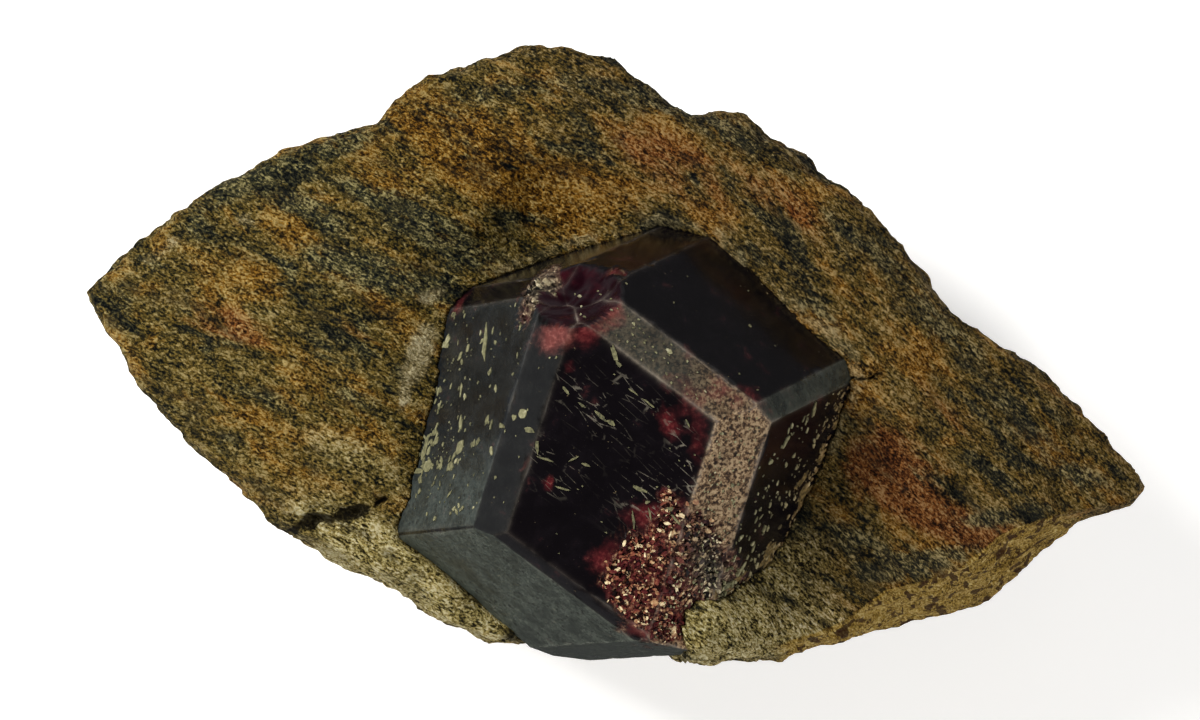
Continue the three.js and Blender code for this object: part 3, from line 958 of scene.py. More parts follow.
# %% The grain group
def make_grain_group():
    """The node group behind every fine grain: small cells, and how high they stand."""
    group, given, result = new_group(
        "mineral grain", {"Place": "Vector", "Size": "Float"}, {"Grain": "Float", "Height": "Float"}
    )
    scale = sum_of(group, "DIVIDE", 1.0, given["Size"])
    cells = add(group, "ShaderNodeTexVoronoi", {"Vector": given["Place"], "Scale": scale})
    brightness = add(group, "ShaderNodeSeparateColor", {0: cells.outputs["Color"]}).outputs[0]
    inputs = {"Vector": given["Place"], "Scale": scale, "Detail": 3.0, "Roughness": 0.65}
    rough = add(group, "ShaderNodeTexNoise", inputs).outputs[0]
    mica = ramp(group, rough, 0.38, 0.60)
    grain = sum_of(group, "MULTIPLY_ADD", brightness, 0.45, sum_of(group, "MULTIPLY", mica, 0.55))
    group.links.new(grain, result["Grain"])
    dome = sum_of(group, "SUBTRACT", 1.0, cells.outputs["Distance"])
    height = sum_of(group, "MULTIPLY_ADD", dome, 0.4, sum_of(group, "MULTIPLY", rough, 1.2))
    group.links.new(height, result["Height"])
    return group


GRAIN = make_grain_group()


def grain(tree, place, size):
    """The grain group placed in a material: its grain and its height."""
    made = add(tree, "ShaderNodeGroup", node_tree=GRAIN)
    tree.links.new(place, made.inputs["Place"])
    made.inputs["Size"].default_value = size
    return made.outputs["Grain"], made.outputs["Height"]


# %% [markdown]
# ## Schist
# The slab is tan mica schist: streaks of grey green mica and chlorite run through it, and iron has
# stained it orange and red brown in patches. A flat brown with a bump would do from far away. Up
# close the rock is a mosaic of grains a quarter of a millimetre across, so the colour is built in
# layers: streaks first, then stains where the mesh says so, then the grains, light and dark, on top.

# %% The schist material
def stain(tree, label, breakup, strength):
    """A stain's mask: the mesh's value, broken up by noise. Where the value is 0 there is no stain."""
    broken = sum_of(tree, "MULTIPLY_ADD", breakup, 4.0, -1.2)
    value = sum_of(tree, "MULTIPLY", point_value(tree, label), broken)
    return ramp(tree, value, 0.1, 0.6, 0, strength)


def stretched(tree, length):
    """The mesh's coordinates along its drawn-out minerals, squeezed so that a pattern comes out long."""
    lines = add(tree, "ShaderNodeAttribute", attribute_name="lines").outputs["Vector"]
    return add(tree, "ShaderNodeMapping", {0: lines, "Scale": (1 / length, 1, 0.8)}).outputs[0]


def schist_colour(tree, tone, streak, blotch):
    """Colour by grain tone, dark mica to pale quartz, in one palette for each stain."""
    olive = palette(
        tree, tone, rgb(0.005, 0.006, 0.005), rgb(0.024, 0.024, 0.012), rgb(0.082, 0.059, 0.014),
        rgb(0.155, 0.104, 0.021), rgb(0.225, 0.160, 0.042), rgb(0.36, 0.28, 0.115),
    )
    orange = palette(
        tree, tone, rgb(0.012, 0.007, 0.003), rgb(0.050, 0.025, 0.006), rgb(0.13, 0.058, 0.009),
        rgb(0.28, 0.130, 0.015), rgb(0.38, 0.21, 0.035), rgb(0.48, 0.33, 0.105),
    )
    rust = palette(
        tree, tone, rgb(0.010, 0.005, 0.003), rgb(0.048, 0.017, 0.007), rgb(0.11, 0.036, 0.011),
        rgb(0.23, 0.074, 0.018), rgb(0.31, 0.13, 0.036), rgb(0.42, 0.25, 0.095),
    )
    green = palette(
        tree, tone, rgb(0.003, 0.004, 0.005), rgb(0.010, 0.013, 0.011), rgb(0.025, 0.030, 0.022),
        rgb(0.060, 0.058, 0.028), rgb(0.13, 0.115, 0.042), rgb(0.33, 0.29, 0.13),
    )
    yellow = palette(
        tree, tone, rgb(0.012, 0.010, 0.005), rgb(0.060, 0.047, 0.013), rgb(0.24, 0.185, 0.055),
        rgb(0.42, 0.34, 0.115), rgb(0.56, 0.48, 0.21), rgb(0.70, 0.64, 0.40),
    )
    colour = blended(tree, ramp(tree, blotch, 0.49, 0.62, 0, 0.8), olive, orange)
    colour = blended(tree, ramp(tree, blotch, 0.46, 0.36, 0, 0.85), colour, green)
    colour = blended(tree, stain(tree, "orange", blotch, 0.9), colour, orange)
    colour = blended(tree, stain(tree, "rust", blotch, 0.85), colour, rust)
    colour = blended(tree, stain(tree, "yellow", blotch, 0.85), colour, yellow)
    return blended(tree, stain(tree, "green", streak, 0.9), colour, green)


def fresh_colour(tree, place, tone):
    """The newly broken rock at the front right: golden, with dark brown spots."""
    flattened = add(tree, "ShaderNodeMapping", {0: place, "Scale": (1, 1, 0.35)}).outputs[0]
    spots = speckle(tree, flattened, 0.8, 2, 0.5)
    lighter = sum_of(tree, "MULTIPLY_ADD", tone, 0.75, 0.14)
    fresh = palette(
        tree, lighter, rgb(0.050, 0.024, 0.005), rgb(0.14, 0.078, 0.014),
        rgb(0.34, 0.21, 0.036), rgb(0.50, 0.34, 0.080), rgb(0.64, 0.49, 0.19),
    )
    return blended(tree, ramp(tree, spots, 0.55, 0.59, 0, 0.9), fresh, rgb(0.045, 0.016, 0.007))


def shaded_schist(tree, colour, tone, streak, fleck):
    """The colour with pale quartz, and painted shade in the hollows, the groove and the cracks."""
    pale = palette(tree, tone, rgb(0.09, 0.070, 0.028), rgb(0.31, 0.25, 0.115), rgb(0.56, 0.49, 0.30))
    colour = blended(tree, stain(tree, "quartz", streak, 0.95), colour, pale)
    colour = blended(tree, stain(tree, "lip", fleck, 0.3), colour, pale)
    # Painted shade, darker where the relief is hollow.
    shade = ramp(tree, point_value(tree, "hollow"), 0.2, 1.0, 0, 0.5)
    colour = blended(tree, shade, colour, rgb(0.016, 0.017, 0.014))
    # Painted shadow: near black in the groove at the crystal and in the cracks.
    dark = sum_of(tree, "MAXIMUM", point_value(tree, "groove"), point_value(tree, "crack"))
    return blended(tree, ramp(tree, dark, 0.25, 0.8, 0, 0.92), colour, rgb(0.006, 0.005, 0.004))


def make_schist():
    """The rock: streaks and blotches along the layering, with the stains the mesh carries."""
    material, tree, place = new_material("mica schist")
    lines, short_lines = stretched(tree, 2.5), stretched(tree, 1.7)
    streak = speckle(tree, lines, 1.1, 7, 0.72, 0.3)
    blotch = speckle(tree, lines, 2.6, 5, 0.62, 0.5)
    fleck = speckle(tree, short_lines, 0.55, 3, 0.6)
    fine, height = grain(tree, short_lines, 0.17)
    tone = sum_of(tree, "MULTIPLY_ADD", streak, 1.7, -0.80)
    tone = sum_of(tree, "ADD", tone, sum_of(tree, "MULTIPLY_ADD", blotch, 1.1, -0.10))
    tone = sum_of(tree, "ADD", tone, sum_of(tree, "MULTIPLY_ADD", fleck, 1.1, -0.55))
    tone = sum_of(tree, "ADD", tone, sum_of(tree, "MULTIPLY_ADD", fine, 1.1, -0.52))
    colour = schist_colour(tree, tone, streak, blotch)
    # Painted shade and stain: the right half darker.
    dusk = blended(tree, 1.0, colour, rgb(0.86, 0.80, 0.84), "MULTIPLY")
    colour = blended(tree, point_value(tree, "dusk"), colour, dusk)
    new_break = ramp(tree, point_value(tree, "fresh"), 0.2, 0.7, 0, 0.9)
    colour = blended(tree, new_break, colour, fresh_colour(tree, place, tone))
    colour = shaded_schist(tree, colour, tone, streak, fleck)
    rise = sum_of(tree, "MULTIPLY_ADD", tone, 1.2, height)
    return finished(material, tree, colour, 0.8, 0.9, 0.3, rise, **{"Specular IOR Level": 0.2})


schist_material = make_schist()


# %% [markdown]
# ## Garnet
# Almandine this thick is nearly black and lets only a little red through, where cracks or a thin
# edge throw light back, and that red light is painted into the colour. Clear glass would be wrong,
# and so would plain black: what one sees is the skin. It is glassy on the clean faces, ground dull
# and brown on one bevel, dusted grey green at the lower left with a painted sheen of the rock it
# mirrors, bluer on the left face, scratched, pitted, and speckled with mica.

# %% Scratches, pits and masks of the garnet
def masked(tree, label, other):
    """The mesh's value times another mask."""
    return sum_of(tree, "MULTIPLY", point_value(tree, label), other)


def scratches(tree, place, size, heading):
    """1 on fine broken lines: the borders of cells drawn out along a heading, where noise allows."""
    inputs = {0: place, "Rotation": (0, 0, np.radians(heading)), "Scale": (5.0, 1, 1)}
    drawn = add(tree, "ShaderNodeMapping", inputs, vector_type="TEXTURE").outputs[0]
    look = {"Vector": drawn, "Scale": 1 / size}
    cells = add(tree, "ShaderNodeTexVoronoi", look, feature="DISTANCE_TO_EDGE")
    allowed = ramp(tree, speckle(tree, place, 0.9, 3, 0.6), 0.46, 0.58)
    return sum_of(tree, "MULTIPLY", ramp(tree, cells.outputs["Distance"], 0.05, 0.01), allowed)


def pit_holes(tree, place, size):
    """1 in small round holes of random size."""
    cells = add(tree, "ShaderNodeTexVoronoi", {"Vector": place, "Scale": 1 / size})
    chance = add(tree, "ShaderNodeSeparateColor", {0: cells.outputs["Color"]}).outputs[0]
    reach = ramp(tree, chance, 0.35, 1.0, 0.0, 0.42)
    return ramp(tree, sum_of(tree, "SUBTRACT", cells.outputs["Distance"], reach), 0.03, -0.05)


def glass_dust_and_sheen(tree, small, broad):
    """Nearly black glass under grey green dust with a painted sheen, bluer where the mesh carries the
    painted cool sheen. Also the mask of dust and sheen."""
    glass = palette(
        tree, broad, rgb(0.0015, 0.001, 0.0015), rgb(0.003, 0.0022, 0.003), rgb(0.008, 0.006, 0.008)
    )
    # Grey green dust and painted sheen of mirrored rock.
    warm = palette(tree, small, rgb(0.022, 0.027, 0.024), rgb(0.068, 0.082, 0.066), rgb(0.17, 0.185, 0.14))
    # Painted cool sheen, bluer than the dust.
    cool_sheen = palette(tree, small, rgb(0.018, 0.026, 0.033), rgb(0.055, 0.075, 0.082), rgb(0.16, 0.185, 0.17))
    dust_and_sheen = masked(tree, "dust_and_sheen", ramp(tree, broad, 0.3, 0.65, 0.6, 1.2))
    return blended(tree, dust_and_sheen, glass, blended(tree, point_value(tree, "cool_sheen"), warm, cool_sheen)), dust_and_sheen


def lit_where(tree, label, broad, gain, start, end):
    """A mask that is ragged at its edge: the mesh's value plus noise, stretched from start to end."""
    noise_part = sum_of(tree, "MULTIPLY_ADD", broad, gain, -gain / 2)
    value = sum_of(tree, "ADD", point_value(tree, label), noise_part)
    return ramp(tree, value, start, end, 0, 0.95)


def red_and_tan(tree, colour, fine, small, broad):
    """Over it the painted dark red light from inside, the tan ground into the bevels, and painted salmon
    red light on the strips.
    """
    # Painted red light from inside the crystal.
    deep = palette(tree, small, rgb(0.010, 0.0015, 0.002), rgb(0.065, 0.008, 0.010), rgb(0.23, 0.05, 0.045))
    colour = blended(tree, lit_where(tree, "deep red glow", broad, 1.6, 0.2, 1.0), colour, deep)
    coarse = sum_of(tree, "MULTIPLY_ADD", fine, 1.7, -0.36)
    ground = palette(
        tree, coarse, rgb(0.032, 0.018, 0.011), rgb(0.150, 0.088, 0.045), rgb(0.35, 0.255, 0.150)
    )
    colour = blended(tree, masked(tree, "tan", ramp(tree, broad, 0.3, 0.6, 0.7, 0.95)), colour, ground)
    # Painted salmon red light from inside.
    salmon_glow = palette(tree, small, rgb(0.030, 0.006, 0.007), rgb(0.13, 0.032, 0.027), rgb(0.42, 0.17, 0.14))
    return blended(tree, lit_where(tree, "salmon_glow", broad, 1.4, 0.15, 0.9), colour, salmon_glow)


def marks_and_chip(tree, place, colour, pitted, small, broad):
    """Over it the dark pits, the chip's fresh glass, the scratches and bright specks."""
    colour = blended(tree, sum_of(tree, "MULTIPLY", pitted, 0.85), colour, rgb(0.008, 0.005, 0.005))
    chip = palette(
        tree, broad, rgb(0.003, 0.0003, 0.001), rgb(0.009, 0.001, 0.003), rgb(0.05, 0.006, 0.010)
    )
    colour = blended(tree, point_value(tree, "chip"), colour, chip)
    lines = sum_of(tree, "MULTIPLY", scratches(tree, place, 0.6, -42), 0.7)
    colour = blended(tree, masked(tree, "mark", lines), colour, rgb(0.20, 0.18, 0.14))
    return blended(tree, ramp(tree, small, 0.72, 0.77, 0, 0.7), colour, rgb(0.30, 0.29, 0.24))


def gravel_colour(tree, place, small):
    """The floor of the crushed patches: dark red dust with paler crumbs, and grey where ashen."""
    plates = speckle(tree, place, 1.1, 2, 0.5, 0.6)
    crumbs = sum_of(tree, "MULTIPLY_ADD", small, 2.6, -0.8)
    gravel = palette(
        tree, crumbs, rgb(0.004, 0.002, 0.002), rgb(0.028, 0.006, 0.006),
        rgb(0.12, 0.038, 0.024), rgb(0.42, 0.28, 0.16),
    )
    gravel = blended(tree, ramp(tree, plates, 0.52, 0.60, 0, 0.9), gravel, rgb(0.075, 0.011, 0.012))
    ash = palette(
        tree, crumbs, rgb(0.005, 0.004, 0.004), rgb(0.022, 0.018, 0.014),
        rgb(0.10, 0.078, 0.050), rgb(0.42, 0.36, 0.24),
    )
    return blended(tree, point_value(tree, "ashen"), gravel, ash)


# %% The garnet material put together
def make_garnet():
    """The crystal: glass, dust with a painted sheen, painted red light from inside, wear, crushed
    patches and the rock still stuck to it.
    """
    material, tree, place = new_material("garnet")
    fine, height = grain(tree, place, 0.26)
    small = speckle(tree, place, 0.32, 3, 0.6)
    broad = speckle(tree, place, 1.7, 4, 0.6)
    colour, dust_and_sheen = glass_dust_and_sheen(tree, small, broad)
    colour = red_and_tan(tree, colour, fine, small, broad)
    holes = pit_holes(tree, place, 0.36)
    pitted = sum_of(tree, "MULTIPLY", holes, sum_of(tree, "MAXIMUM", point_value(tree, "tan"), dust_and_sheen))
    colour = marks_and_chip(tree, place, colour, pitted, small, broad)
    colour = blended(tree, point_value(tree, "crushed"), colour, gravel_colour(tree, place, small))
    noise_part = sum_of(tree, "MULTIPLY_ADD", small, 1.8, -0.9)
    left_on = ramp(tree, sum_of(tree, "ADD", point_value(tree, "crust"), noise_part), 0.35, 0.5, 0, 0.9)
    rock = palette(tree, fine, rgb(0.016, 0.013, 0.006), rgb(0.085, 0.056, 0.018), rgb(0.22, 0.150, 0.055))
    colour = blended(tree, left_on, colour, rock)
    rubbed = masked(tree, "rubbed", ramp(tree, broad, 0.36, 0.58, 0.1, 0.95))
    colour = blended(tree, rubbed, colour, rgb(0.26, 0.22, 0.18))
    dull = sum_of(tree, "MAXIMUM", point_value(tree, "crushed"), point_value(tree, "tan"))
    dull = sum_of(tree, "MAXIMUM", sum_of(tree, "MAXIMUM", dull, left_on), dust_and_sheen)
    dents = sum_of(tree, "SUBTRACT", height, pitted)
    rise = sum_of(tree, "MULTIPLY", dents, sum_of(tree, "MULTIPLY_ADD", dull, 0.9, 0.05))
    rough = ramp(tree, dull, 0.0, 1.0, 0.14, 0.7)
    return finished(material, tree, colour, rough, 0.6, 0.16, rise, IOR=1.5)


garnet_material = make_garnet()

# %% [markdown]
# ## Mica flakes
# Thin flakes of mica from the rock still stick to the crystal, in clusters on its left face and all
# along its right face. Painted on, they would be blurred, since the crystal's grid is coarser than
# their edges. They are cheap as real plates instead: a flake is a polygon of nine corners with a
# random outline, a tenth of a millimetre thick, laid on one of the crystal's planes. The largest are
# placed one by one; the small ones are scattered where a density says so, and so are the grains of
# the crushed patches further down, which are flakes that stand deeper and lean.

# %% Laying flakes on a face
FLAKE_CORNERS = 9
FLAKE_PROUD = (0.042, 0.084)  # mm that flakes stand proud of a face, least and most
FLAKE_SUNK = 0.12  # mm that their lower ring lies under it


def laid_flakes(face, places, seed, proud=FLAKE_PROUD, sunk=FLAKE_SUNK, lean=0.0):
    """Points of flakes on a face. places has a row per flake: x and y seen from above, length, width
    and heading in degrees. A flake's outline is an ellipse whose radius is random at every corner;
    its upper ring stands proud by a random height, and its lower ring is sunk in the crystal. lean is
    the usual slope of the upper ring."""
    random = np.random.default_rng(seed)
    normal, distance = face_plane(*face)
    x, y, length, width, turn = np.array(places).T
    centre = np.stack([x, y, (distance - x * normal[0] - y * normal[1]) / normal[2]], axis=1)
    turn = np.radians(turn)
    rise = -(normal[0] * np.cos(turn) + normal[1] * np.sin(turn)) / normal[2]
    along = np.stack([np.cos(turn), np.sin(turn), rise], axis=1)
    along /= np.linalg.norm(along, axis=1, keepdims=True)
    across = np.cross(normal, along)
    uneven = random.uniform(-0.3, 0.3, (len(x), FLAKE_CORNERS))
    angle = 2 * np.pi * (np.arange(FLAKE_CORNERS) + uneven) / FLAKE_CORNERS
    radius = random.uniform(0.30, 0.58, angle.shape)
    out = along[:, None] * (length[:, None] * radius * np.cos(angle))[..., None]
    out = out + across[:, None] * (width[:, None] * radius * np.sin(angle))[..., None]
    height = random.uniform(*proud, (len(x), 1, 1))
    slope = np.cross(normal, unit(random.normal(size=3))) * random.normal(0, lean, (len(x), 1))
    height = height + (out * slope[:, None]).sum(axis=-1, keepdims=True)
    upper = centre[:, None] + 0.92 * out + normal * height
    lower = centre[:, None] + out - normal * sunk
    return np.concatenate([upper, lower], axis=1)


def scattered(face, tries, density, longest, heading, seed, swing=18):
    """Rows of small flakes at random places on a face, kept where a random number is under the
    density of the place. Lengths follow longest * u^2, so most are short."""
    random = np.random.default_rng(seed)
    normal, distance = face_plane(*face)
    corners = CORNERS[face_corners(normal, distance)]
    x, y = random.uniform(corners.min(axis=0)[:2], corners.max(axis=0)[:2], (tries, 2)).T
    points = np.stack([x, y, (distance - x * normal[0] - y * normal[1]) / normal[2]], axis=1)
    height = np.sort(points @ NORMALS.T - DISTANCES, axis=1)
    above = points[:, 2] - top_height(x, y)
    kept = (height[:, -2] < -0.12) & (above > -0.2) & (random.random(tries) < density(points, above))
    length = 0.16 + longest * random.random(tries) ** 2
    width = length * random.uniform(0.3, 0.8, tries)
    rows = np.stack([x, y, length, width, heading + random.normal(0, swing, tries)], axis=1)
    return rows[kept]


def flake_faces(count):
    """Upper and lower polygons and the side quads of every flake."""
    ring = np.arange(FLAKE_CORNERS)
    base = 2 * FLAKE_CORNERS * np.arange(count)[:, None]
    after = np.roll(ring, -1)
    sides = np.stack([ring + FLAKE_CORNERS, after + FLAKE_CORNERS, after, ring], axis=-1)
    caps = np.vstack([base + ring, base + FLAKE_CORNERS + ring[::-1]])
    return [caps, (base[..., None] + sides).reshape(-1, 4)]


# %% Where the flakes are
LEFT_FLAKES = [  # x, y, length, width, heading
    (-10.5, 6.7, 3.6, 0.7, 86),
    (-13.4, 7.3, 1.6, 0.9, 60),
    (-11.8, 6.5, 0.9, 0.5, 70),
    (-12.3, 3.5, 1.2, 0.4, 85),
    (-10.1, 4.5, 0.8, 0.5, 70),
    (-10.3, 0.9, 1.0, 0.5, 70),
    (-9.2, 0.3, 0.8, 0.5, -50),
    (-12.3, 0.9, 1.4, 0.5, 86),
    (-12.4, -0.9, 1.5, 1.1, 60),
    (-11.4, -0.8, 0.7, 0.6, 0),
    (-13.1, -2.2, 1.2, 1.0, 30),
    (-15.0, -0.6, 2.0, 0.9, 75),
    (-14.8, -2.0, 2.1, 1.1, 10),
    (-14.3, 0.5, 1.3, 0.5, 20),
    (-14.3, 3.6, 1.3, 0.4, 70),
    (-9.7, 6.7, 0.5, 0.5, 0),
    (-15.6, 0.6, 2.8, 0.35, 84),
    (-12.9, 9.3, 0.8, 0.5, 40),
    (-15.5, -2.3, 1.6, 0.6, 0),
]
STRIP_FLAKES = [(-7.7, 1.2, 1.0, 0.8, 60), (-7.2, -0.1, 1.1, 0.5, -20), (-8.3, 0.9, 0.5, 0.5, 0)]
FRONT_FLAKES = [
    (-1.0, 5.4, 1.5, 0.45, -75),
    (-0.7, 4.6, 0.8, 0.35, -50),
    (-4.5, 2.7, 1.1, 0.25, -52),
    (-2.0, 0.9, 1.3, 0.30, -42),
    (-1.2, 0.4, 0.9, 0.35, -35),
    (-3.4, 1.7, 1.0, 0.20, -38),
    (-6.6, -1.3, 0.30, 1.2, 0),
    (-6.0, -2.2, 1.6, 0.20, -18),
    (-4.0, -2.2, 0.9, 0.22, 25),
    (-3.1, -2.6, 0.8, 0.28, -20),
    (-4.8, -4.3, 1.2, 0.22, -15),
    (0.9, -4.4, 1.3, 0.35, -25),
    (1.4, -5.3, 0.5, 0.30, 20),
    (0.4, -6.6, 0.22, 1.7, 5),
    (1.6, -6.2, 0.20, 1.1, 12),
    (3.1, -5.8, 0.5, 0.4, 0),
    (3.5, -6.6, 1.1, 0.2, -50),
    (1.5, 1.8, 1.4, 0.18, -38),
    (0.4, 2.6, 1.1, 0.16, -36),
    (4.3, 0.4, 0.9, 0.16, -60),
]
RIGHT_FLAKES = [
    (10.0, -6.9, 0.7, 0.6, 60),
    (10.4, -2.2, 0.5, 0.35, 60),
    (11.0, -3.6, 0.5, 0.3, 70),
    (8.4, -9.8, 1.5, 0.5, 60),
    (7.2, -11.2, 1.3, 0.6, 25),
    (11.6, -0.6, 1.4, 0.4, 65),
    (13.7, 1.8, 1.3, 0.4, 75),
    (9.2, -8.4, 0.8, 0.3, 70),
]


def left_density(points, above):
    """Flakes crowd at the left of the face, and round one cluster low on it."""
    cluster = spot(points, -14.2, -1.4, 2.0, 2.0, 20) + 0.4 * spot(points, -13.6, 5.0, 1.4, 4.0, -10)
    return 0.12 + 0.9 * cluster


def right_density(points, above):
    """Flakes crowd near the rock, and most of all along the contact."""
    return 0.16 + 0.8 * np.exp(-above / 2.0) + 1.5 * np.exp(-np.abs(above) / 0.35)


def even_density(points, above):
    """Every second try is kept, wherever it falls."""
    return np.full(len(points), 0.5)


def spread(face, tries, density, longest, heading, seed, placed, brightest):
    """A set of flakes on one face: placed ones and scattered ones, and the brightest shade."""
    return face, np.vstack([placed, scattered(face, tries, density, longest, heading, seed)]), brightest


FLAKE_SETS = [
    spread((1, 0, -1), 1500, left_density, 0.75, 75, 301, LEFT_FLAKES, 0.8),
    spread((2, 1, -1), 60, even_density, 0.25, 60, 302, STRIP_FLAKES, 0.7),
    spread((1, 1, 0), 60, even_density, 0.12, -40, 303, FRONT_FLAKES, 0.25),
    spread((0, 1, 1), 2600, right_density, 0.50, 68, 304, RIGHT_FLAKES, 0.8),
    spread((1, 0, 1), 40, even_density, 0.10, -40, 307, [(9.0, 8.0, 0.3, 0.2, -40)], 0.2),
    spread((2, 1, 1), 420, even_density, 0.16, -40, 305, [(3.0, 5.6, 0.6, 0.4, -40)], 1.0),
    spread((1, 2, 1), 700, even_density, 0.12, 60, 306, [(7.6, -4.0, 0.4, 0.3, 60)], 1.0),
]


def all_flakes():
    """Points, faces and values of every flake: a random shade each, and how brown it is."""
    sets = [laid_flakes(face, rows, seed) for seed, (face, rows, _) in enumerate(FLAKE_SETS)]
    points = np.concatenate(sets)
    brightest = np.concatenate([np.full(len(rows), most) for _, rows, most in FLAKE_SETS])
    random = np.random.default_rng(310)
    shade = np.repeat(random.random(len(points)) * brightest, 2 * FLAKE_CORNERS)
    flat = points.reshape(-1, 3)
    above = np.maximum(flat[:, 2] - top_height(flat[:, 0], flat[:, 1]), 0)
    brown = smooth_step(flat[:, 0], 7, 12) * np.exp(-above / 2)
    return flat, flake_faces(len(points)), {"shade": shade, "brown": brown}


# %% Grains of the crushed patches
GRAIN_FACES = [  # Miller indices and how many grains are tried
    ((1, 1, 0), 13000),
    ((1, 2, 1), 6500),
    ((0, 1, 1), 4000),
    ((2, 1, -1), 1200),
    ((1, 0, -1), 2500),
    ((2, -1, -1), 1200),
    ((2, 1, 1), 800),
]


def grain_density(points, above):
    """Grains lie where the crystal is crushed, but not in the chip."""
    return 0.95 * crushed_patch(points) * (1 - chip_depth(points)[1])


def crushed_grains():
    """Points, faces and values of the grains: flakes that stand deeper, lean, and point anywhere."""
    sets = []
    for seed, (face, tries) in enumerate(GRAIN_FACES, 320):
        rows = scattered(face, tries, grain_density, 0.54, 20, seed, swing=60)
        sets.append(laid_flakes(face, rows, seed, proud=(-0.28, 0.06), sunk=0.7, lean=0.6))
    points = np.concatenate(sets)
    middle = points.mean(axis=1)
    random = np.random.default_rng(330)
    shade = np.repeat(random.random(len(points)) ** 1.4, 2 * FLAKE_CORNERS)
    ashen = np.repeat(ashen_margin(middle), 2 * FLAKE_CORNERS)
    return points.reshape(-1, 3), flake_faces(len(points)), {"shade": shade, "ashen": ashen}


# %% The material of the grains
def make_grains():
    """The crushed grains: dark red to ashen, each with its own shade."""
    material, tree, place = new_material("crushed garnet")
    small = speckle(tree, place, 0.20, 3, 0.6)
    tone = sum_of(tree, "MULTIPLY_ADD", small, 0.8, -0.4)
    tone = sum_of(tree, "ADD", tone, point_value(tree, "shade"))
    colour = palette(
        tree, tone, rgb(0.004, 0.002, 0.002), rgb(0.030, 0.005, 0.006), rgb(0.090, 0.015, 0.015),
        rgb(0.20, 0.070, 0.038), rgb(0.36, 0.22, 0.11), rgb(0.68, 0.58, 0.36),
    )
    ash = palette(
        tree, tone, rgb(0.004, 0.004, 0.004), rgb(0.014, 0.012, 0.010), rgb(0.045, 0.038, 0.028),
        rgb(0.13, 0.105, 0.066), rgb(0.30, 0.25, 0.15), rgb(0.62, 0.56, 0.40),
    )
    colour = blended(tree, point_value(tree, "ashen"), colour, ash)
    return finished(material, tree, colour, 0.45, 0.5, 0.08, small)


grain_material = make_grains()


# %% The mica material
def make_mica():
    """The flakes: silvery olive, or rusty where the mesh says brown."""
    material, tree, place = new_material("mica flakes")
    small = speckle(tree, place, 0.25, 3, 0.6)
    tone = sum_of(tree, "MULTIPLY_ADD", small, 1.4, -0.5)
    tone = sum_of(tree, "MULTIPLY_ADD", point_value(tree, "shade"), 0.6, tone)
    clean = palette(
        tree, tone, rgb(0.040, 0.040, 0.026), rgb(0.13, 0.125, 0.065),
        rgb(0.22, 0.21, 0.115), rgb(0.42, 0.40, 0.27),
    )
    rusty = palette(
        tree, tone, rgb(0.030, 0.018, 0.008), rgb(0.12, 0.070, 0.025),
        rgb(0.27, 0.19, 0.09), rgb(0.50, 0.43, 0.27),
    )
    colour = blended(tree, point_value(tree, "brown"), clean, rusty)
    rough = ramp(tree, small, 0.3, 0.7, 0.6, 0.45)
    return finished(material, tree, colour, rough, 0.4, 0.08, small)


mica_material = make_mica()

# %% [markdown]
# ## The pieces
# Every piece of the real thing becomes one object: the crystal's skin and the slab's skin each stand
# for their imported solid, and the flakes and grains ride along. Nothing moves against anything else,
# so all of them ride on the one body. Flakes and grains are broken plates, so they are shaded flat.

# %% Making the pieces
points, quads, fans = crystal_grid()
depth, masks = wear_depth(points)
masks |= skin_values(points)
worn = points * (1 - depth / np.linalg.norm(points, axis=1))[:, None]
crystal = make_piece("garnet_surface", worn, [quads, fans], masks, garnet_material)
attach(crystal, "root")
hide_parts("garnet_crystal")

flakes = make_piece("mica_flakes", *all_flakes(), mica_material)
flakes.data.shade_flat()
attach(flakes, "root")

grains = make_piece("crushed_grains", *crushed_grains(), grain_material)
grains.data.shade_flat()
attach(grains, "root")

slab = make_piece("schist_surface", *slab_grid(), schist_material)
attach(slab, "root")
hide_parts("schist_matrix")

# %% [markdown]
# ## Floor, light and camera
# A specimen is shown on white card under soft light. The card could be lit until it is white, but
# then the dark crystal would be flooded too. Instead the card glows a little for the camera alone.
# The crystal is so dark that its faces are seen by what they mirror, so three weak cards hang where
# the faces look, while the two keys light the rock and are hidden from the mirrors. The camera
# stands far off, almost overhead, with a long lens.

# %% Floor
scene = bpy.context.scene
scene.view_settings.view_transform = "Standard"

FLOOR_HALF = 1.5  # metres
FLOOR_GLOW = 0.35
corners = [(x * FLOOR_HALF, y * FLOOR_HALF, 0) for x, y in ((-1, -1), (1, -1), (1, 1), (-1, 1))]
mesh = bpy.data.meshes.new("floor")
mesh.from_pydata(corners, [], [(0, 1, 2, 3)])
floor = bpy.data.objects.new("floor", mesh)
scene.collection.objects.link(floor)
paper = bpy.data.materials.new("paper")
paper.use_nodes = True
card = paper.node_tree.nodes["Principled BSDF"].inputs
card["Base Color"].default_value = rgb(0.9, 0.9, 0.9)
card["Roughness"].default_value = 0.9
card["Emission Color"].default_value = rgb(1, 1, 1)
for_camera = add(paper.node_tree, "ShaderNodeLightPath").outputs["Is Camera Ray"]
glow = sum_of(paper.node_tree, "MULTIPLY", for_camera, FLOOR_GLOW)
paper.node_tree.links.new(glow, card["Emission Strength"])
mesh.materials.append(paper)
floor.visible_glossy = False
print("floor, metres across:", 2 * FLOOR_HALF)

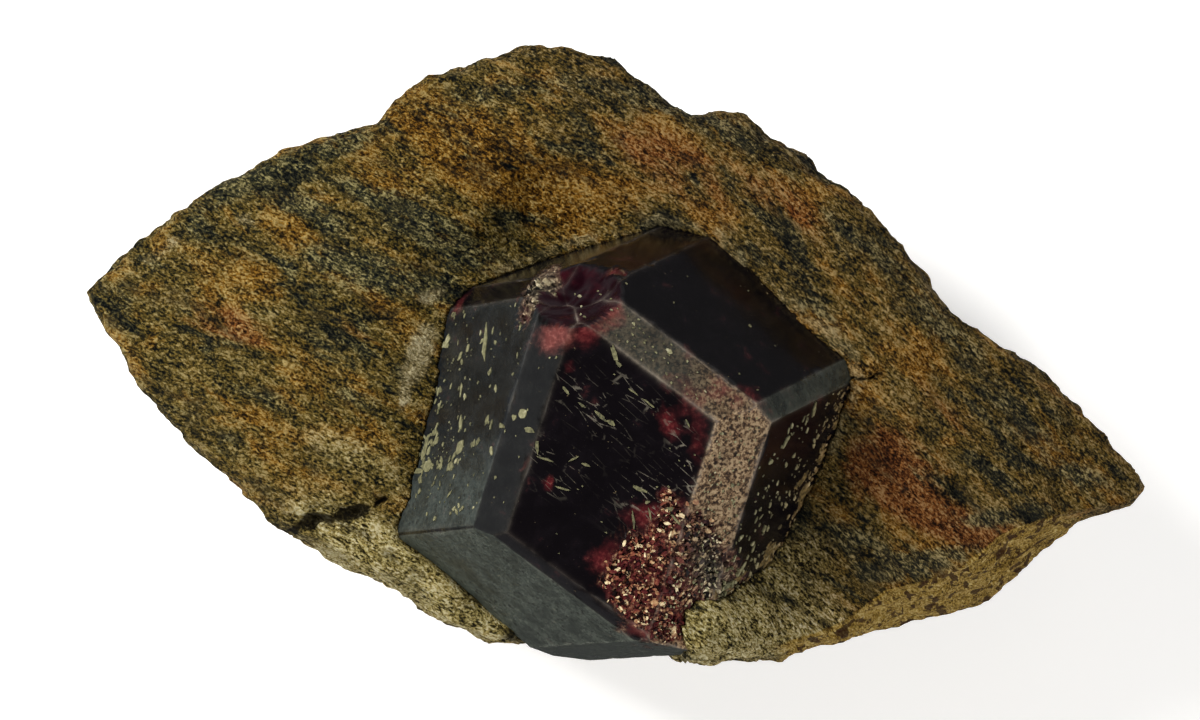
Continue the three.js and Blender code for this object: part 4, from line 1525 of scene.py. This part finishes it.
# %% World and lights
world = bpy.data.worlds.new("studio")
scene.world = world
world.use_nodes = True
sky = world.node_tree
around = add(sky, "ShaderNodeTexCoord").outputs["Generated"]
height = add(sky, "ShaderNodeSeparateXYZ", {0: around}).outputs[2]
upper = ramp(sky, height, 0.05, 0.75, 0.30, 0.03)
shine = sum_of(sky, "MULTIPLY", upper, ramp(sky, height, -0.12, 0.05, 0.3, 1.0))
seen = add(sky, "ShaderNodeLightPath").outputs["Is Camera Ray"]
strength = add(sky, "ShaderNodeMix", {0: seen, 2: shine, 3: 0.95}, data_type="FLOAT").outputs[0]
sky.links.new(strength, sky.nodes["Background"].inputs["Strength"])
sky.nodes["Background"].inputs["Color"].default_value = rgb(0.95, 0.98, 1.0)


def softbox(name, azimuth, elevation, distance, size, watts, colour):
    """An area light that looks at the crystal from an azimuth and elevation in degrees."""
    light = bpy.data.lights.new(name, "AREA")
    light.shape, light.size, light.size_y = "RECTANGLE", *size
    light.energy, light.color = watts, colour
    lamp = bpy.data.objects.new(name, light)
    a, e = np.radians(azimuth), np.radians(elevation)
    way = np.array([np.cos(a) * np.cos(e), np.sin(a) * np.cos(e), np.sin(e)])
    lamp.location = CENTRE * MM + way * distance
    lamp.rotation_euler = Vector(way).to_track_quat("Z", "Y").to_euler()
    scene.collection.objects.link(lamp)
    return lamp


key = softbox("left key", 150, 40, 0.6, (0.22, 0.22), 5.6, (1, 0.98, 0.95))
fill = softbox("right key", -50, 40, 0.6, (0.3, 0.3), 2.8, (1, 0.97, 0.93))
key.visible_glossy = fill.visible_glossy = False
softbox("left card", 178, 28, 0.5, (0.30, 0.25), 0.05, (0.9, 0.97, 1.0))
softbox("right card", -33, 26, 0.5, (0.30, 0.25), 0.15, (0.9, 0.95, 1.0))
softbox("back card", 44, 48, 0.5, (0.30, 0.25), 0.05, (1, 1, 1))

# %% Camera
LENS, SENSOR, VIEW_WIDTH, ELEVATION = 200, 36, 0.090, 85
camera = bpy.data.cameras.new("camera")
camera.lens, camera.sensor_width = LENS, SENSOR
viewer = bpy.data.objects.new("camera", camera)
scene.collection.objects.link(viewer)
tilt = np.radians(90 - ELEVATION)
up = np.array([0, np.cos(tilt), np.sin(tilt)])
toward = np.array([0, -np.sin(tilt), np.cos(tilt)])
LEFT_OF_CRYSTAL, ABOVE_CRYSTAL = 0.00204, 0.0063  # metres from the crystal to the view's middle
aim = CENTRE * MM + np.array([-LEFT_OF_CRYSTAL, 0, 0]) + up * ABOVE_CRYSTAL
viewer.location = aim + toward * VIEW_WIDTH * LENS / SENSOR
viewer.rotation_euler = (tilt, 0, 0)
scene.camera = viewer
print("camera, metres away:", round(VIEW_WIDTH * LENS / SENSOR, 3))
